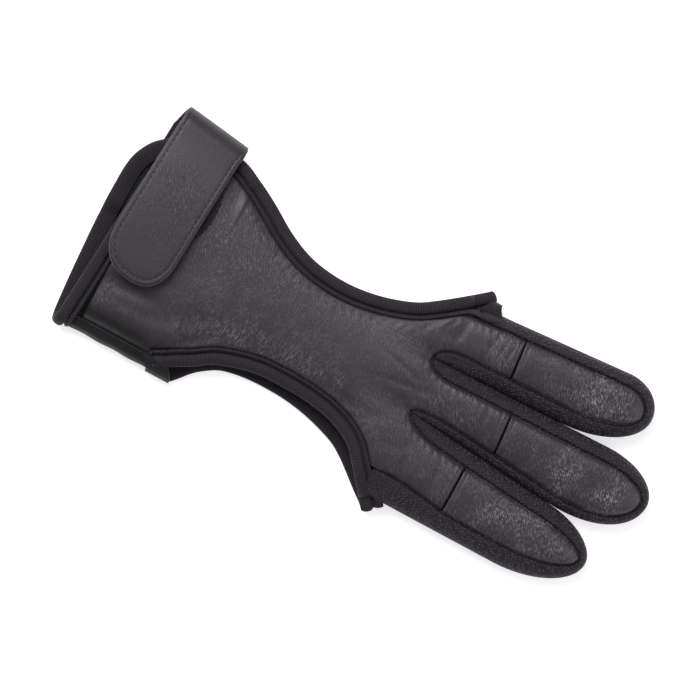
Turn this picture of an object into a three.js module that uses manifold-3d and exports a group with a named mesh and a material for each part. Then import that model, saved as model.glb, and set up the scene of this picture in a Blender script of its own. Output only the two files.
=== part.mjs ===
// A three-finger archery glove lying palm up on its back, in millimetres.
// +X runs from the wrist to the fingertips, +Y across the hand to the outer side, +Z up from the surface.
// Walls are real: leather palm, knitted stalls, fabric back, two closed loops of bound tape and a strap.
import * as THREE from 'three';
import { mergeVertices } from 'three/addons/utils/BufferGeometryUtils.js';
import Module from 'manifold-3d';

const wasm = await Module();
wasm.setup();

// Hand part of the glove
const palmLength = 127; // wrist edge to the line where the stalls begin
const palmHeight = 12.5; // crown of the leather over the surface
const wristLow = 38.5; // centre line of the hand to the closed side of the cuff
const wristHigh = 37; // centre line of the hand to the slit side of the cuff
const sideFold = 4; // how far the fabric wraps on to the palm at the closed side of the cuff

// Stalls, each from the line across the hand where they begin
const ringLength = 72.3;
const ringBaseWidth = 31.2;
const ringWidth = 26.4;
const ringCrossSeam = 21.4; // from the stall's beginning to its patch of leather
const middleLength = 81.3;
const middleBaseWidth = 19.8;
const middleWidth = 25.7;
const middleCrossSeam = 27.2;
const indexLength = 69;
const indexBaseWidth = 22.6;
const indexWidth = 25.1;
const indexCrossSeam = 20;
const stallHeight = 14;
const stallTaperLength = 50; // from the base to where the stated widths are reached
const middleLean = -1.65; // sideways drift of the middle stall over the taper length
const seamBorder = 4.5; // mesh that shows beside the leather
const crotchLeaf = 5; // how far the mesh between two stalls reaches on to the palm
const leafRound = 9; // length over which that mesh opens to its full width

// Rounded lengths of the tips as shares of the stall's width and borders as shares of seamBorder.
// apex is where the tip's end lies, as a share of the width from the low side.
const fingers = [
  { name: 'ring', length: ringLength, baseWidth: ringBaseWidth, width: ringWidth, crossSeam: ringCrossSeam,
    apex: 0.587, roundLow: 1.06, roundHigh: 0.72, borderLow: 1.38, borderHigh: 1.16, borderTip: 0.62 },
  { name: 'middle', length: middleLength, baseWidth: middleBaseWidth, width: middleWidth,
    crossSeam: middleCrossSeam,
    apex: 0.595, roundLow: 1.2, roundHigh: 0.82, borderLow: 0.84, borderHigh: 1.07, borderTip: 0.58 },
  { name: 'index', length: indexLength, baseWidth: indexBaseWidth, width: indexWidth, crossSeam: indexCrossSeam,
    apex: 0.55, roundLow: 1.08, roundHigh: 0.56, borderLow: 1.11, borderHigh: 0.93, borderTip: 0.76 },
];

// Materials' thicknesses and the gaps between pieces
const palmLeatherThickness = 1.5;
const tipLeatherThickness = 1.9;
const meshThickness = 1.4;
const fabricThickness = 1.2;
const seamGap = 0.3;
const crossSeamGap = 0.8; // open groove between the palm and a fingertip patch

// Bound tape
const tapeWidth = 5.5;
const tapeThickness = 2.4;
const floorGap = 0.1; // the tape is held this far off the surface by the panels

// Closure
const strapWidth = 24.4;
const strapThickness = 1.6;
const strapLength = 58.8; // fold to round end
const strapRoot = 36; // fold to the sewn end under the cuff
const strapFold = 43.4; // centre line of the hand to the fold
const strapAlong = 21.3; // wrist edge to the strap's middle at the fold
const strapLean = 0.045; // sideways drift of the strap for each millimetre along it
const strapRootShift = -1.5; // the layer under the cuff lies this far nearer the wrist
const strapRound = 11; // length of the rounded end
const strapTip = 0.36; // width left at the very end, as a share of the strap's
const patchThickness = 0.9;
const loopPatchLength = 37;
const loopPatchWidth = 25;
const loopPatchShift = 2.8; // the sewn patch sits this far towards the fingers
const hookPatchLength = 34;
const hookPatchWidth = 18;
const hookPatchInset = 4; // round end of the strap to the patch

// Centre lines of the tape. along is a share of palmLength and across a share of the half width there.
const thumbFront = [
  { along: 0.331, across: 0.96 }, { along: 0.388, across: 0.762 }, { along: 0.457, across: 0.614 },
  { along: 0.551, across: 0.523 }, { along: 0.63, across: 0.503 }, { along: 0.724, across: 0.513 },
  { along: 0.811, across: 0.567 }, { along: 0.874, across: 0.69 }, { along: 0.925, across: 0.864 },
  { along: 0.976, across: 1.035 },
];
const thumbBack = [
  { along: 0.331, across: 0.963 }, { along: 0.389, across: 0.841 }, { along: 0.44, across: 0.682 },
  { along: 0.502, across: 0.62 }, { along: 0.585, across: 0.586 }, { along: 0.666, across: 0.59 },
  { along: 0.746, across: 0.63 }, { along: 0.828, across: 0.708 }, { along: 0.874, across: 0.789 },
  { along: 0.908, across: 0.884 }, { along: 0.941, across: 0.986 }, { along: 0.963, across: 1.058 },
];
const wristFront = [
  { along: 0.055, across: -0.93 }, { along: 0.053, across: -0.5 }, { along: 0.053, across: 0 },
  { along: 0.056, across: 0.35 }, { along: 0.066, across: 0.66 }, { along: 0.1, across: 0.86 },
  { along: 0.175, across: 0.955 }, { along: 0.26, across: 0.98 },
];
const wristBack = [
  { along: 0.037, across: -0.94 }, { along: 0.031, across: -0.62 }, { along: 0.027, across: -0.1 },
  { along: 0.022, across: 0.27 }, { along: 0.028, across: 0.53 }, { along: 0.053, across: 0.73 },
  { along: 0.1, across: 0.87 }, { along: 0.175, across: 0.94 }, { along: 0.26, across: 0.955 },
];
const outerFront = [
  { along: 0.33, across: 0.88 }, { along: 0.39, across: 0.765 }, { along: 0.465, across: 0.605 },
  { along: 0.543, across: 0.49 }, { along: 0.622, across: 0.445 }, { along: 0.7, across: 0.451 },
  { along: 0.78, across: 0.508 }, { along: 0.858, across: 0.619 }, { along: 0.913, across: 0.765 },
  { along: 0.97, across: 0.94 }, { along: 1.024, across: 1.125 },
];
const outerBack = [
  { along: 0.33, across: 0.855 }, { along: 0.39, across: 0.735 }, { along: 0.465, across: 0.575 },
  { along: 0.543, across: 0.46 }, { along: 0.622, across: 0.415 }, { along: 0.7, across: 0.421 },
  { along: 0.78, across: 0.478 }, { along: 0.858, across: 0.59 }, { along: 0.913, across: 0.735 },
  { along: 0.965, across: 0.91 }, { along: 1.01, across: 1.07 },
];

// Heights of the leather as shares of palmHeight: at the low side, along the middle and at the high side
const palmSections = [
  { along: 0, low: 0.74, crown: 0.94, high: 0.72 },
  { along: 0.16, low: 0.77, crown: 0.97, high: 0.74 },
  { along: 0.33, low: 0.75, crown: 0.97, high: 0.73 },
  { along: 0.5, low: 0.76, crown: 0.95, high: 0.76 },
  { along: 0.66, low: 0.76, crown: 0.94, high: 0.76 },
  { along: 0.82, low: 0.74, crown: 0.98, high: 0.74 },
  { along: 1, low: 0.6, crown: 1.04, high: 0.58 },
];

// Soft folds pressed into the leather: a centre, a half length, a half width and a depth.
// along and length are shares of palmLength, across and width of the half width, depth of palmHeight.
const palmFolds = [
  { along: 0.2, across: -0.66, length: 0.15, width: 0.1, depth: 0.1, turn: -2 },
  { along: 0.87, across: -0.42, length: 0.09, width: 0.05, depth: 0.07, turn: 14 },
  { along: 0.39, across: 0.4, length: 0.08, width: 0.09, depth: 0.05, turn: -28 },
  { along: 0.42, across: -0.34, length: 0.1, width: 0.08, depth: 0.05, turn: 24 },
];

// How densely the surfaces are divided
const stallSides = 18;
const tapeStep = 5.2;
const palmStepAlong = 6.2;
const palmStepAcross = 3.4;

// Small helpers

const clamp = (value, low = 0, high = 1) => Math.min(high, Math.max(low, value));
const mix = (a, b, share) => a + (b - a) * share;
const ease = (share) => clamp(share) ** 2 * (3 - 2 * clamp(share));
const stations = (from, to, step) => {
  const count = Math.max(2, Math.round(Math.abs(to - from) / step));
  return Array.from({ length: count + 1 }, (_, i) => mix(from, to, i / count));
};

// Value of a table's column at a place between its rows, on a smooth curve.
function between(rows, column, along) {
  const last = rows.length - 1;
  if (along <= rows[0].along) return rows[0][column];
  if (along >= rows[last].along) return rows[last][column];
  const i = rows.findIndex((row) => row.along > along) - 1;
  const slope = (k) => {
    const a = rows[Math.max(0, k - 1)];
    const b = rows[Math.min(last, k + 1)];
    return (b[column] - a[column]) / (b.along - a.along);
  };
  const span = rows[i + 1].along - rows[i].along;
  const t = (along - rows[i].along) / span;
  const [p, q, u, v] = [rows[i][column], rows[i + 1][column], slope(i) * span, slope(i + 1) * span];
  return p + t * (u + t * (3 * (q - p) - 2 * u - v + t * (2 * (p - q) + u + v)));
}

// A closed geometry from rings of points: each ring holds as many points, and the ends are closed by fans.
function loft(rings) {
  const sides = rings[0].length;
  const points = rings.flat();
  const faces = [];
  for (let r = 0; r < rings.length - 1; r++) {
    for (let k = 0; k < sides; k++) {
      const a = r * sides + k;
      const b = r * sides + ((k + 1) % sides);
      faces.push(a, b, b + sides, a, b + sides, a + sides);
    }
  }
  for (const [ring, first] of [[0, true], [rings.length - 1, false]]) {
    const middle = rings[ring].reduce((sum, p) => sum.add(p), new THREE.Vector3()).divideScalar(sides);
    points.push(middle);
    for (let k = 0; k < sides; k++) {
      const a = ring * sides + k;
      const b = ring * sides + ((k + 1) % sides);
      faces.push(points.length - 1, ...(first ? [b, a] : [a, b]));
    }
  }
  return geometryOf(points, faces);
}

// A closed geometry from rings that themselves close on the first one, as a loop of tape does.
function closedLoop(rings) {
  const sides = rings[0].length;
  const faces = [];
  for (let r = 0; r < rings.length; r++) {
    for (let k = 0; k < sides; k++) {
      const a = r * sides + k;
      const b = r * sides + ((k + 1) % sides);
      const c = ((r + 1) % rings.length) * sides;
      faces.push(a, c + (b % sides), b, a, c + (a % sides), c + (b % sides));
    }
  }
  return geometryOf(rings.flat(), faces);
}

// A closed wall between two grids of points of the same size, the upper one and the lower one.
function wall(upper, lower) {
  const rows = upper.length;
  const columns = upper[0].length;
  const points = [...upper.flat(), ...lower.flat()];
  const shift = rows * columns;
  const faces = [];
  const quad = (a, b, c, d) => faces.push(a, b, c, a, c, d);
  for (let r = 0; r < rows - 1; r++) {
    for (let k = 0; k < columns - 1; k++) {
      const a = r * columns + k;
      quad(a, a + columns, a + columns + 1, a + 1);
      quad(shift + a, shift + a + 1, shift + a + columns + 1, shift + a + columns);
    }
  }
  for (let r = 0; r < rows - 1; r++) {
    const a = r * columns;
    const b = a + columns - 1;
    quad(a, shift + a, shift + a + columns, a + columns);
    quad(b, b + columns, shift + b + columns, shift + b);
  }
  for (let k = 0; k < columns - 1; k++) {
    const b = (rows - 1) * columns + k;
    quad(k, k + 1, shift + k + 1, shift + k);
    quad(b, shift + b, shift + b + 1, b + 1);
  }
  return geometryOf(points, faces);
}

function geometryOf(points, faces) {
  const geometry = new THREE.BufferGeometry();
  geometry.setAttribute('position', new THREE.Float32BufferAttribute(points.flatMap((p) => [p.x, p.y, p.z]), 3));
  geometry.setIndex(faces);
  return geometry;
}

// Joining and cutting is done on solids; a solid goes back to a mesh once, at the end.
function solidOf(geometry) {
  const plain = geometry.clone();
  plain.deleteAttribute('normal');
  plain.deleteAttribute('uv');
  const merged = mergeVertices(plain, 1e-4);
  const solid = new wasm.Manifold(new wasm.Mesh({
    numProp: 3,
    vertProperties: merged.getAttribute('position').array,
    triVerts: new Uint32Array(merged.getIndex().array),
  }));
  return solid;
}

// Cutting can leave crumbs at a tip; the piece is the largest body.
const mainBody = (solid) => solid.decompose().sort((a, b) => b.volume() - a.volume())[0];

// An upright prism over an outline in the plan, between two heights.
function prism(outline, bottom, top) {
  const shape = new THREE.Shape(outline.map((p) => new THREE.Vector2(p.x, p.y)));
  const geometry = new THREE.ExtrudeGeometry(shape, { depth: top - bottom, bevelEnabled: false });
  geometry.translate(0, 0, bottom);
  return solidOf(geometry);
}

function block(x0, x1, y0, y1, z0, z1) {
  const geometry = new THREE.BoxGeometry(x1 - x0, y1 - y0, z1 - z0);
  geometry.translate((x0 + x1) / 2, (y0 + y1) / 2, (z0 + z1) / 2);
  return solidOf(geometry);
}

// Outlines of the stalls in the plan

// The four long lines that the stalls lie between, from the ring stall's outer side to the index stall's.
function lineBetween(number, x) {
  const share = (x - palmLength) / stallTaperLength;
  const width = (finger) => mix(finger.baseWidth, finger.width, share);
  const [ring, middle, index] = fingers;
  const centre = middleLean * share;
  if (number === 0) return centre - width(middle) / 2 - width(ring);
  if (number === 1) return centre - width(middle) / 2;
  if (number === 2) return centre + width(middle) / 2;
  return centre + width(middle) / 2 + width(index);
}

const tipOf = (finger) => palmLength + finger.length;
const reach = Math.max(...fingers.map(tipOf));

// Low and high side of a stall at x, taken in by the insets, with the rounded tip.
function stallSpan(number, x, inset = { low: 0, high: 0, tip: 0 }) {
  const finger = fingers[number];
  const tip = tipOf(finger) - inset.tip;
  const apex = mix(lineBetween(number, tip), lineBetween(number + 1, tip), finger.apex);
  const side = (line, move, round) => {
    const y = line + move;
    const t = clamp((x - (tip - round)) / round);
    return apex + (y - apex) * Math.sqrt(1 - t * t);
  };
  return {
    low: side(lineBetween(number, x), seamGap / 2 + inset.low, finger.roundLow * finger.width - inset.tip),
    high: side(lineBetween(number + 1, x), -seamGap / 2 - inset.high, finger.roundHigh * finger.width - inset.tip),
    apex,
  };
}

const evenInset = (wallThickness) => ({ low: wallThickness, high: wallThickness, tip: wallThickness });

// Heights of the leather side

// Height of a stall's crown and of its two shoulders, from where its rounded upper half springs.
const shoulderShare = 0.5;
const crotchShoulder = 0.86;
const crotchFall = 24; // length over which the valley between two stalls deepens
const tipFall = 17; // length over which a stall's shoulders come down at the tip
const tipNose = 0.42; // height of the very tip as a share of the stall's
const roundPower = 2.25;
const flatPower = 4;

function stallHeights(number, x) {
  const deepens = ease((x - palmLength + crotchLeaf) / crotchFall);
  const crown = mix(palmHeight * 1.04, stallHeight, deepens);
  const fall = ease((x - tipOf(fingers[number]) + tipFall) / tipFall);
  const valley = mix(crotchShoulder, shoulderShare, deepens);
  const shoulder = (line) => mix(crown * (line === 0 || line === 3 ? shoulderShare : valley), tipNose * crown, fall);
  return { crown, low: shoulder(number), high: shoulder(number + 1) };
}

// Rise of a rounded section, 1 on its ridge and 0 at its sides. u runs across it from -1 to 1,
// and the rounded tip closes it as an ellipse does.
function domed(number, x, u, power, inset = 0) {
  const finger = fingers[number];
  const into = (round) => clamp(1 - (tipOf(finger) - inset - x) / (round * finger.width - inset));
  const t = mix(into(finger.roundLow), into(finger.roundHigh), (u + 1) / 2);
  const away = u * u * (1 - t * t) + t * t;
  return Math.max(0, 1 - away ** (power / 2)) ** (1 / power);
}

// Height of the outer surface over the stalls.
function stallTop(x, y) {
  const number = y < lineBetween(1, x) ? 0 : y < lineBetween(2, x) ? 1 : 2;
  const { low, high } = stallSpan(number, x);
  const u = clamp((2 * y - low - high) / Math.max(high - low, 0.1), -1, 1);
  const heights = stallHeights(number, x);
  const shoulder = u < 0 ? heights.low : heights.high;
  return shoulder + (heights.crown - shoulder) * domed(number, x, u, roundPower);
}

// Half width of the hand at x on the closed side and on the slit side.
const halfLow = (x) => mix(wristLow, -lineBetween(0, palmLength), clamp(x / palmLength));
const halfHigh = (x) => mix(wristHigh, lineBetween(3, palmLength), clamp(x / palmLength));

const tapeLineLow = (x) => {
  const share = x / palmLength;
  return -halfLow(x) * (share < thumbFront[0].along ? 0.985 : between(thumbFront, 'across', share));
};
const tapeLineHigh = (x) => {
  const share = x / palmLength;
  return halfHigh(x) * (share < outerFront[0].along ? 0.97 : between(outerFront, 'across', share));
};

const edgePower = 2.4;
const blendStart = 0.76; // where the palm starts to take the stalls' three humps, as a share of palmLength

function palmTop(x, y) {
  const share = clamp(x / palmLength);
  const low = tapeLineLow(x);
  const high = tapeLineHigh(x);
  const v = clamp((2 * y - low - high) / (high - low), -1.1, 1.1);
  const edge = palmHeight * between(palmSections, v < 0 ? 'low' : 'high', share);
  const crown = palmHeight * between(palmSections, 'crown', share);
  return edge + (crown - edge) * (1 - Math.abs(v) ** edgePower) - foldDepth(x, y);
}

function foldDepth(x, y) {
  let depth = 0;
  for (const fold of palmFolds) {
    const half = fold.across < 0 ? halfLow(x) : halfHigh(x);
    const dx = x - fold.along * palmLength;
    const dy = y - fold.across * half;
    const turn = THREE.MathUtils.degToRad(fold.turn);
    const a = (dx * Math.cos(turn) + dy * Math.sin(turn)) / (fold.length * palmLength);
    const b = (dy * Math.cos(turn) - dx * Math.sin(turn)) / (fold.width * half);
    depth += fold.depth * palmHeight * Math.exp(-(a * a) - b * b);
  }
  return depth;
}

function leatherTop(x, y) {
  const blend = ease((x / palmLength - blendStart) / (1 - crotchLeaf / palmLength - blendStart));
  if (blend <= 0) return palmTop(x, y);
  if (blend >= 1) return stallTop(x, y);
  return mix(palmTop(x, y), stallTop(x, y), blend);
}

// Height of the back panel's underside: flat, and lifted where it lies on the strap's sewn end.
const strapLift = strapThickness + seamGap;
const liftMargin = 3;
const liftSlope = 6;
const strapMiddleAt = (y) => strapAlong - strapLean * (strapFold - y);

function backFloor(x, y) {
  const middle = strapMiddleAt(y) + strapRootShift;
  const past = Math.max(Math.abs(x - middle) - strapWidth / 2, strapFold - strapRoot - y) - liftMargin;
  return strapLift * (1 - ease(past / liftSlope));
}

// Bound tape

const bindingHalf = tapeWidth / 2 + seamGap;

// A table's rows as points in the plan.
function planPoints(rows, side) {
  return rows.map(({ along, across }) => {
    const x = along * palmLength;
    const half = across * side < 0 ? halfLow(x) : halfHigh(x);
    return new THREE.Vector2(x, across * side * half);
  });
}

const curveThrough = (points) => new THREE.SplineCurve(points);
const thumbFrontCurve = curveThrough(planPoints(thumbFront, -1));
const thumbBackCurve = curveThrough(planPoints(thumbBack, -1));
const outerFrontCurve = curveThrough(planPoints([...wristFront, ...outerFront], 1));
const outerBackCurve = curveThrough(planPoints([...wristBack, ...outerBack], 1));

// Samples of a curve with the way from the panel to the tape's free edge, on the given side of travel.
function tapeSamples(curve, side, height) {
  const count = Math.max(6, Math.round(curve.getLength() / tapeStep));
  return curve.getSpacedPoints(count).map((point, i) => {
    const tangent = curve.getTangentAt(i / count);
    return {
      point: new THREE.Vector3(point.x, point.y, height(point.x, point.y)),
      out: new THREE.Vector3(tangent.y * side, -tangent.x * side, 0).normalize(),
    };
  });
}

const frontTapeHeight = (x, y) => leatherTop(x, y) - palmLeatherThickness / 2;
const backTapeHeight = (x, y) => backFloor(x, y) + floorGap + tapeThickness / 2;

// Where the tape turns from the front layer to the back one it runs down the side of the hand.
function turnDown(from, to, bulge) {
  const away = Math.sign(from.point.y);
  return [0.25, 0.5, 0.75].map((share) => {
    const point = from.point.clone().lerp(to.point, share);
    const angle = Math.PI * share;
    point.y += away * bulge * Math.sin(angle);
    point.z = mix(to.point.z, from.point.z, (1 + Math.cos(angle)) / 2);
    return { point, out: from.out.clone().lerp(to.out, share).normalize() };
  });
}

// The tape's section: a folded strip, thick at its rolled free edge and thin where it is sewn down.
const tapeSection = [
  { across: -0.5, up: 0.3 }, { across: -0.18, up: 0.36 }, { across: 0.12, up: 0.5 }, { across: 0.4, up: 0.44 },
  { across: 0.5, up: 0 }, { across: 0.4, up: -0.44 }, { across: 0.12, up: -0.5 }, { across: -0.5, up: -0.3 },
];

function tapeLoop(samples) {
  const count = samples.length;
  const rings = samples.map((sample, i) => {
    const before = samples[(i - 1 + count) % count].point;
    const after = samples[(i + 1) % count].point;
    const tangent = after.clone().sub(before).normalize();
    const up = new THREE.Vector3().crossVectors(tangent, sample.out).normalize();
    const out = new THREE.Vector3().crossVectors(up, tangent).normalize();
    return tapeSection.map((corner) => sample.point.clone()
      .addScaledVector(out, corner.across * tapeWidth)
      .addScaledVector(up, corner.up * tapeThickness));
  });
  return rings;
}

function openingLoop(frontCurve, backCurve, side, bulge) {
  const front = tapeSamples(frontCurve, side, frontTapeHeight);
  const back = tapeSamples(backCurve, side, backTapeHeight);
  const far = turnDown(front.at(-1), back.at(-1), bulge.far);
  const near = turnDown(front[0], back[0], bulge.near).reverse();
  return [...front, ...far, ...back.reverse(), ...near];
}

// The part of the plan that an opening takes from the panels: everything past the tape's sewn edge.
function openingOutline(curve, side, extra = 0) {
  const samples = tapeSamples(curve, side, () => 0);
  const edge = samples.map(({ point, out }) => point.clone().addScaledVector(out, -(bindingHalf + extra)));
  const first = edge[0];
  const last = edge.at(-1);
  return { edge, first, last };
}

const farAway = 40;
const turnRoom = tapeThickness * 0.45; // more room where the tape turns down the side of the hand
function thumbOutline(curve) {
  const { edge, first, last } = openingOutline(curve, 1);
  const outside = -lineBetween(0, palmLength) + farAway;
  return [...edge, { x: last.x + turnRoom, y: last.y }, { x: last.x + turnRoom, y: -outside },
    { x: first.x - turnRoom, y: -outside }, { x: first.x - turnRoom, y: first.y }];
}
function outerOutline(curve) {
  const { edge, first, last } = openingOutline(curve, -1);
  const outside = lineBetween(3, palmLength) + farAway;
  return [...edge, { x: last.x + turnRoom, y: last.y }, { x: last.x + turnRoom, y: outside },
    { x: -farAway, y: outside }, { x: -farAway, y: -outside }, { x: first.x + turnRoom, y: -outside },
    { x: first.x + turnRoom, y: first.y }];
}

const sky = stallHeight * 3;
const backLevel = tapeThickness + floorGap + seamGap; // front openings cut above this, back ones below
const frontOpenings = prism(thumbOutline(thumbFrontCurve), backLevel, sky)
  .add(prism(outerOutline(outerFrontCurve), backLevel, sky));
const backOpenings = prism(thumbOutline(thumbBackCurve), -sky, backLevel + seamGap)
  .add(prism(outerOutline(outerBackCurve), -sky, backLevel + strapLift));
const openings = frontOpenings.add(backOpenings);

// Leather seams in the plan

const sideSeam = wristLow - sideFold;

// Inset of a seam from one side of a stall: nothing at the leaf between two stalls, then the full border.
function seamSpan(number, x, grow) {
  const finger = fingers[number];
  const opens = (line) => {
    if (line === 0 || line === 3) return 1;
    const t = clamp((x - (palmLength - crotchLeaf)) / leafRound);
    return Math.sqrt(1 - (1 - t) ** 2);
  };
  return stallSpan(number, x, {
    low: finger.borderLow * seamBorder * opens(number) - grow,
    high: finger.borderHigh * seamBorder * opens(number + 1) - grow,
    tip: finger.borderTip * seamBorder - grow,
  });
}

const seamStations = (tip) => {
  const start = palmLength - crotchLeaf;
  const spread = [0, 0.6, 2, 4.5, leafRound, 16, 26, 38].map((d) => start + d);
  const last = spread.at(-1);
  const rest = stations(last, tip, 7).slice(1, -1);
  const nose = [tip - 5, tip - 2.6, tip - 1, tip - 0.25];
  return [...spread, ...rest.filter((x) => x < tip - 7), ...nose];
};

// Outline of all the leather: palm and patches together, grown by the seam's gap where the fabric is cut.
function leatherOutline(grow) {
  const outline = [{ x: -farAway, y: -sideSeam - grow }];
  const high = lineBetween(3, palmLength) + farAway / 2;
  fingers.forEach((finger, number) => {
    const tip = tipOf(finger) - finger.borderTip * seamBorder + grow;
    const along = seamStations(tip);
    const spans = along.map((x) => seamSpan(number, x, grow));
    along.forEach((x, i) => outline.push({ x, y: spans[i].low }));
    outline.push({ x: tip, y: spans.at(-1).apex });
    along.map((x, i) => ({ x, y: spans[i].high })).reverse().forEach((p) => outline.push(p));
  });
  outline.push({ x: palmLength - crotchLeaf - leafRound, y: high }, { x: -farAway, y: high });
  return outline;
}

// Cross seams, a little aslant as the photo shows
const seamSlant = [0.01, -0.07, -0.085];
function crossSeamLine(number, offset) {
  const at = palmLength + fingers[number].crossSeam + offset;
  const y0 = lineBetween(number, at);
  const y1 = lineBetween(number + 1, at);
  const slant = seamSlant[number] * (y1 - y0) / 2;
  return [{ x: at - slant, y: y0 - seamGap }, { x: at + slant, y: y1 + seamGap }];
}
// The plan beyond a cross seam, out past the fingertip
function beyondSeam(number, offset) {
  const [low, high] = crossSeamLine(number, offset);
  return [low, { x: reach + farAway, y: low.y - farAway / 8 }, { x: reach + farAway, y: high.y + farAway / 8 }, high];
}

// The pieces

const stallStations = (number, inset) => {
  const tip = tipOf(fingers[number]) - inset;
  const start = palmLength - crotchLeaf;
  const nose = Math.min(fingers[number].length * 0.4, stallTaperLength);
  const rounded = [0.22, 0.42, 0.6, 0.74, 0.85, 0.93, 0.98, 0.998];
  return [...stations(start, tip - nose, 8.5), ...rounded.map((share) => tip - nose + share * nose)];
};

// Rings of a stall's outer surface, or of its hollow at a wall's thickness.
function stallRings(number, thickness, before = 0) {
  const rings = stallStations(number, thickness).map((x) => {
    const { low, high } = stallSpan(number, x, evenInset(thickness));
    const heights = stallHeights(number, x);
    const crown = heights.crown - thickness;
    return Array.from({ length: stallSides }, (_, i) => {
      const angle = (2 * Math.PI * (i + 0.5)) / stallSides;
      const sin = Math.sin(angle);
      const cos = Math.cos(angle);
      const power = sin > 0 ? roundPower : flatPower;
      const u = Math.sign(cos) * Math.abs(cos) ** (2 / power);
      const shoulder = cos > 0 ? heights.high : heights.low;
      const rise = domed(number, x, u, power, thickness);
      const z = shoulder + (sin > 0 ? crown - shoulder : thickness - shoulder) * rise;
      return new THREE.Vector3(x, (low + high) / 2 + (u * (high - low)) / 2, z);
    });
  });
  if (before) rings.unshift(rings[0].map((p) => new THREE.Vector3(p.x - before, p.y, p.z)));
  return rings;
}

const stallOuter = fingers.map((_, number) => solidOf(loft(stallRings(number, 0))));
const stallHollow = (number, thickness) => solidOf(loft(stallRings(number, thickness, 2)));
const leatherLevel = stallHeight * 0.38; // the leather seams cut the stalls above this height

function stallMesh(number) {
  const leather = prism(leatherOutline(seamGap), leatherLevel, sky);
  const underPalm = block(-farAway, palmLength, -farAway * 2, farAway * 2, -sky, leatherLevel + seamGap);
  return mainBody(stallOuter[number]
    .subtract(stallHollow(number, meshThickness))
    .subtract(leather)
    .subtract(underPalm)
    .subtract(openings));
}

function tipLeather(number) {
  return mainBody(stallOuter[number]
    .subtract(stallHollow(number, tipLeatherThickness))
    .intersect(prism(leatherOutline(0), leatherLevel, sky))
    .intersect(prism(beyondSeam(number, crossSeamGap / 2), leatherLevel, sky)));
}

function palmLeather() {
  const last = palmLength + Math.max(...fingers.map((finger) => finger.crossSeam)) + 2;
  const along = stations(0, last, palmStepAlong);
  const across = stations(-halfLow(palmLength), halfHigh(palmLength) + 4, palmStepAcross);
  const at = (drop) => along.map((x) => across.map((y) => new THREE.Vector3(x, y, leatherTop(x, y) - drop)));
  let panel = solidOf(wall(at(0), at(palmLeatherThickness)))
    .intersect(prism(leatherOutline(0), 0, sky))
    .subtract(frontOpenings);
  fingers.forEach((_, number) => {
    panel = panel.subtract(prism(beyondSeam(number, -crossSeamGap / 2), 0, sky));
  });
  return mainBody(panel);
}

// The back: a flat panel and, at the closed side of the cuff, the fold that comes up to the leather's seam.
function backPanel() {
  const along = [...stations(0, palmLength * 0.32, 4), ...stations(palmLength * 0.38, palmLength - seamGap, 10)];
  const share = (x) => ease((x / palmLength - 0.9) / 0.1);
  const lowEdge = (x) => -mix(sideSeam, -lineBetween(0, palmLength) - 2, share(x));
  const highEdge = (x) => mix(wristHigh, lineBetween(3, palmLength) - 2, share(x));
  const columns = 14;
  const at = (rise) => along.map((x) => Array.from({ length: columns + 1 }, (_, k) => {
    const y = mix(lowEdge(x), highEdge(x), k / columns);
    return new THREE.Vector3(x, y, backFloor(x, y) + rise);
  }));
  const flat = solidOf(wall(at(fabricThickness), at(0)));
  return mainBody(flat.add(cuffFold()).subtract(openings));
}

const foldCorners = 9;
function cuffFold() {
  const along = stations(1, palmLength * 0.36, 6);
  const section = (x) => {
    const y = -sideSeam - seamGap;
    const top = leatherTop(x, y);
    const arc = (inset) => Array.from({ length: foldCorners + 1 }, (_, i) => {
      const angle = Math.PI * (i / foldCorners);
      const deep = (sideFold - inset - seamGap) * Math.sin(angle) ** 0.8;
      return new THREE.Vector3(x, y - deep, top / 2 + (top / 2 - inset) * Math.cos(angle));
    });
    // the lower end runs on into the flat panel
    const outer = arc(0);
    const inner = arc(fabricThickness);
    return [...outer, new THREE.Vector3(x, y + 2, 0), new THREE.Vector3(x, y + 2, fabricThickness),
      ...inner.reverse()];
  };
  return solidOf(loft(along.map(section)));
}

// The strap: a sewn end under the cuff, a fold round the slit, and the tab over the palm.
const patchStack = seamGap * 3 + patchThickness * 2;

function strapStations() {
  const tab = [...stations(0, strapLength - strapRound, 8), ...[0.3, 0.58, 0.8, 0.94, 1].map(
    (t) => strapLength - strapRound + t * strapRound)];
  return tab;
}

// A point of the strap's middle surface. w runs from -1 to 1 across it, s in millimetres from the fold:
// above 0 over the palm and below 0 under the cuff.
function strapFrame(w) {
  const half = strapWidth / 2;
  const x = strapAlong + w * half;
  const crest = strapFold - strapLean * 2 * w * half - strapThickness / 2;
  const root = strapThickness / 2;
  const top = leatherTop(x, strapFold - palmHeight / 2) + patchStack + strapThickness / 2;
  const radius = (top - root) / 2;
  return { x, half, crest, root, top, radius, turn: crest - radius };
}

function strapPoint(w, part, s, offset) {
  const frame = strapFrame(w);
  if (part === 'root') {
    const y = mix(frame.turn, strapFold - strapRoot, s);
    return new THREE.Vector3(strapMiddleAt(y) + strapRootShift + w * frame.half, y, frame.root - offset);
  }
  if (part === 'fold') {
    const angle = Math.PI * (s - 0.5);
    const radius = frame.radius + offset;
    const shift = mix(strapRootShift, 0, s);
    return new THREE.Vector3(frame.x + shift, frame.turn + radius * Math.cos(angle),
      frame.root + frame.radius + radius * Math.sin(angle));
  }
  const round = clamp((s - (strapLength - strapRound)) / strapRound);
  const narrow = mix(strapTip, 1, Math.sqrt(1 - round ** 2.2));
  const start = frame.turn;
  const y = mix(start, strapFold - strapLength, (s - frame.radius) / (strapLength - frame.radius));
  const x = strapMiddleAt(y) + w * frame.half * narrow;
  const settle = ease((start - y) / 10);
  const z = mix(frame.top, leatherTop(x, y) + patchStack + strapThickness / 2, settle);
  return new THREE.Vector3(x, y, z + offset);
}

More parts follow.
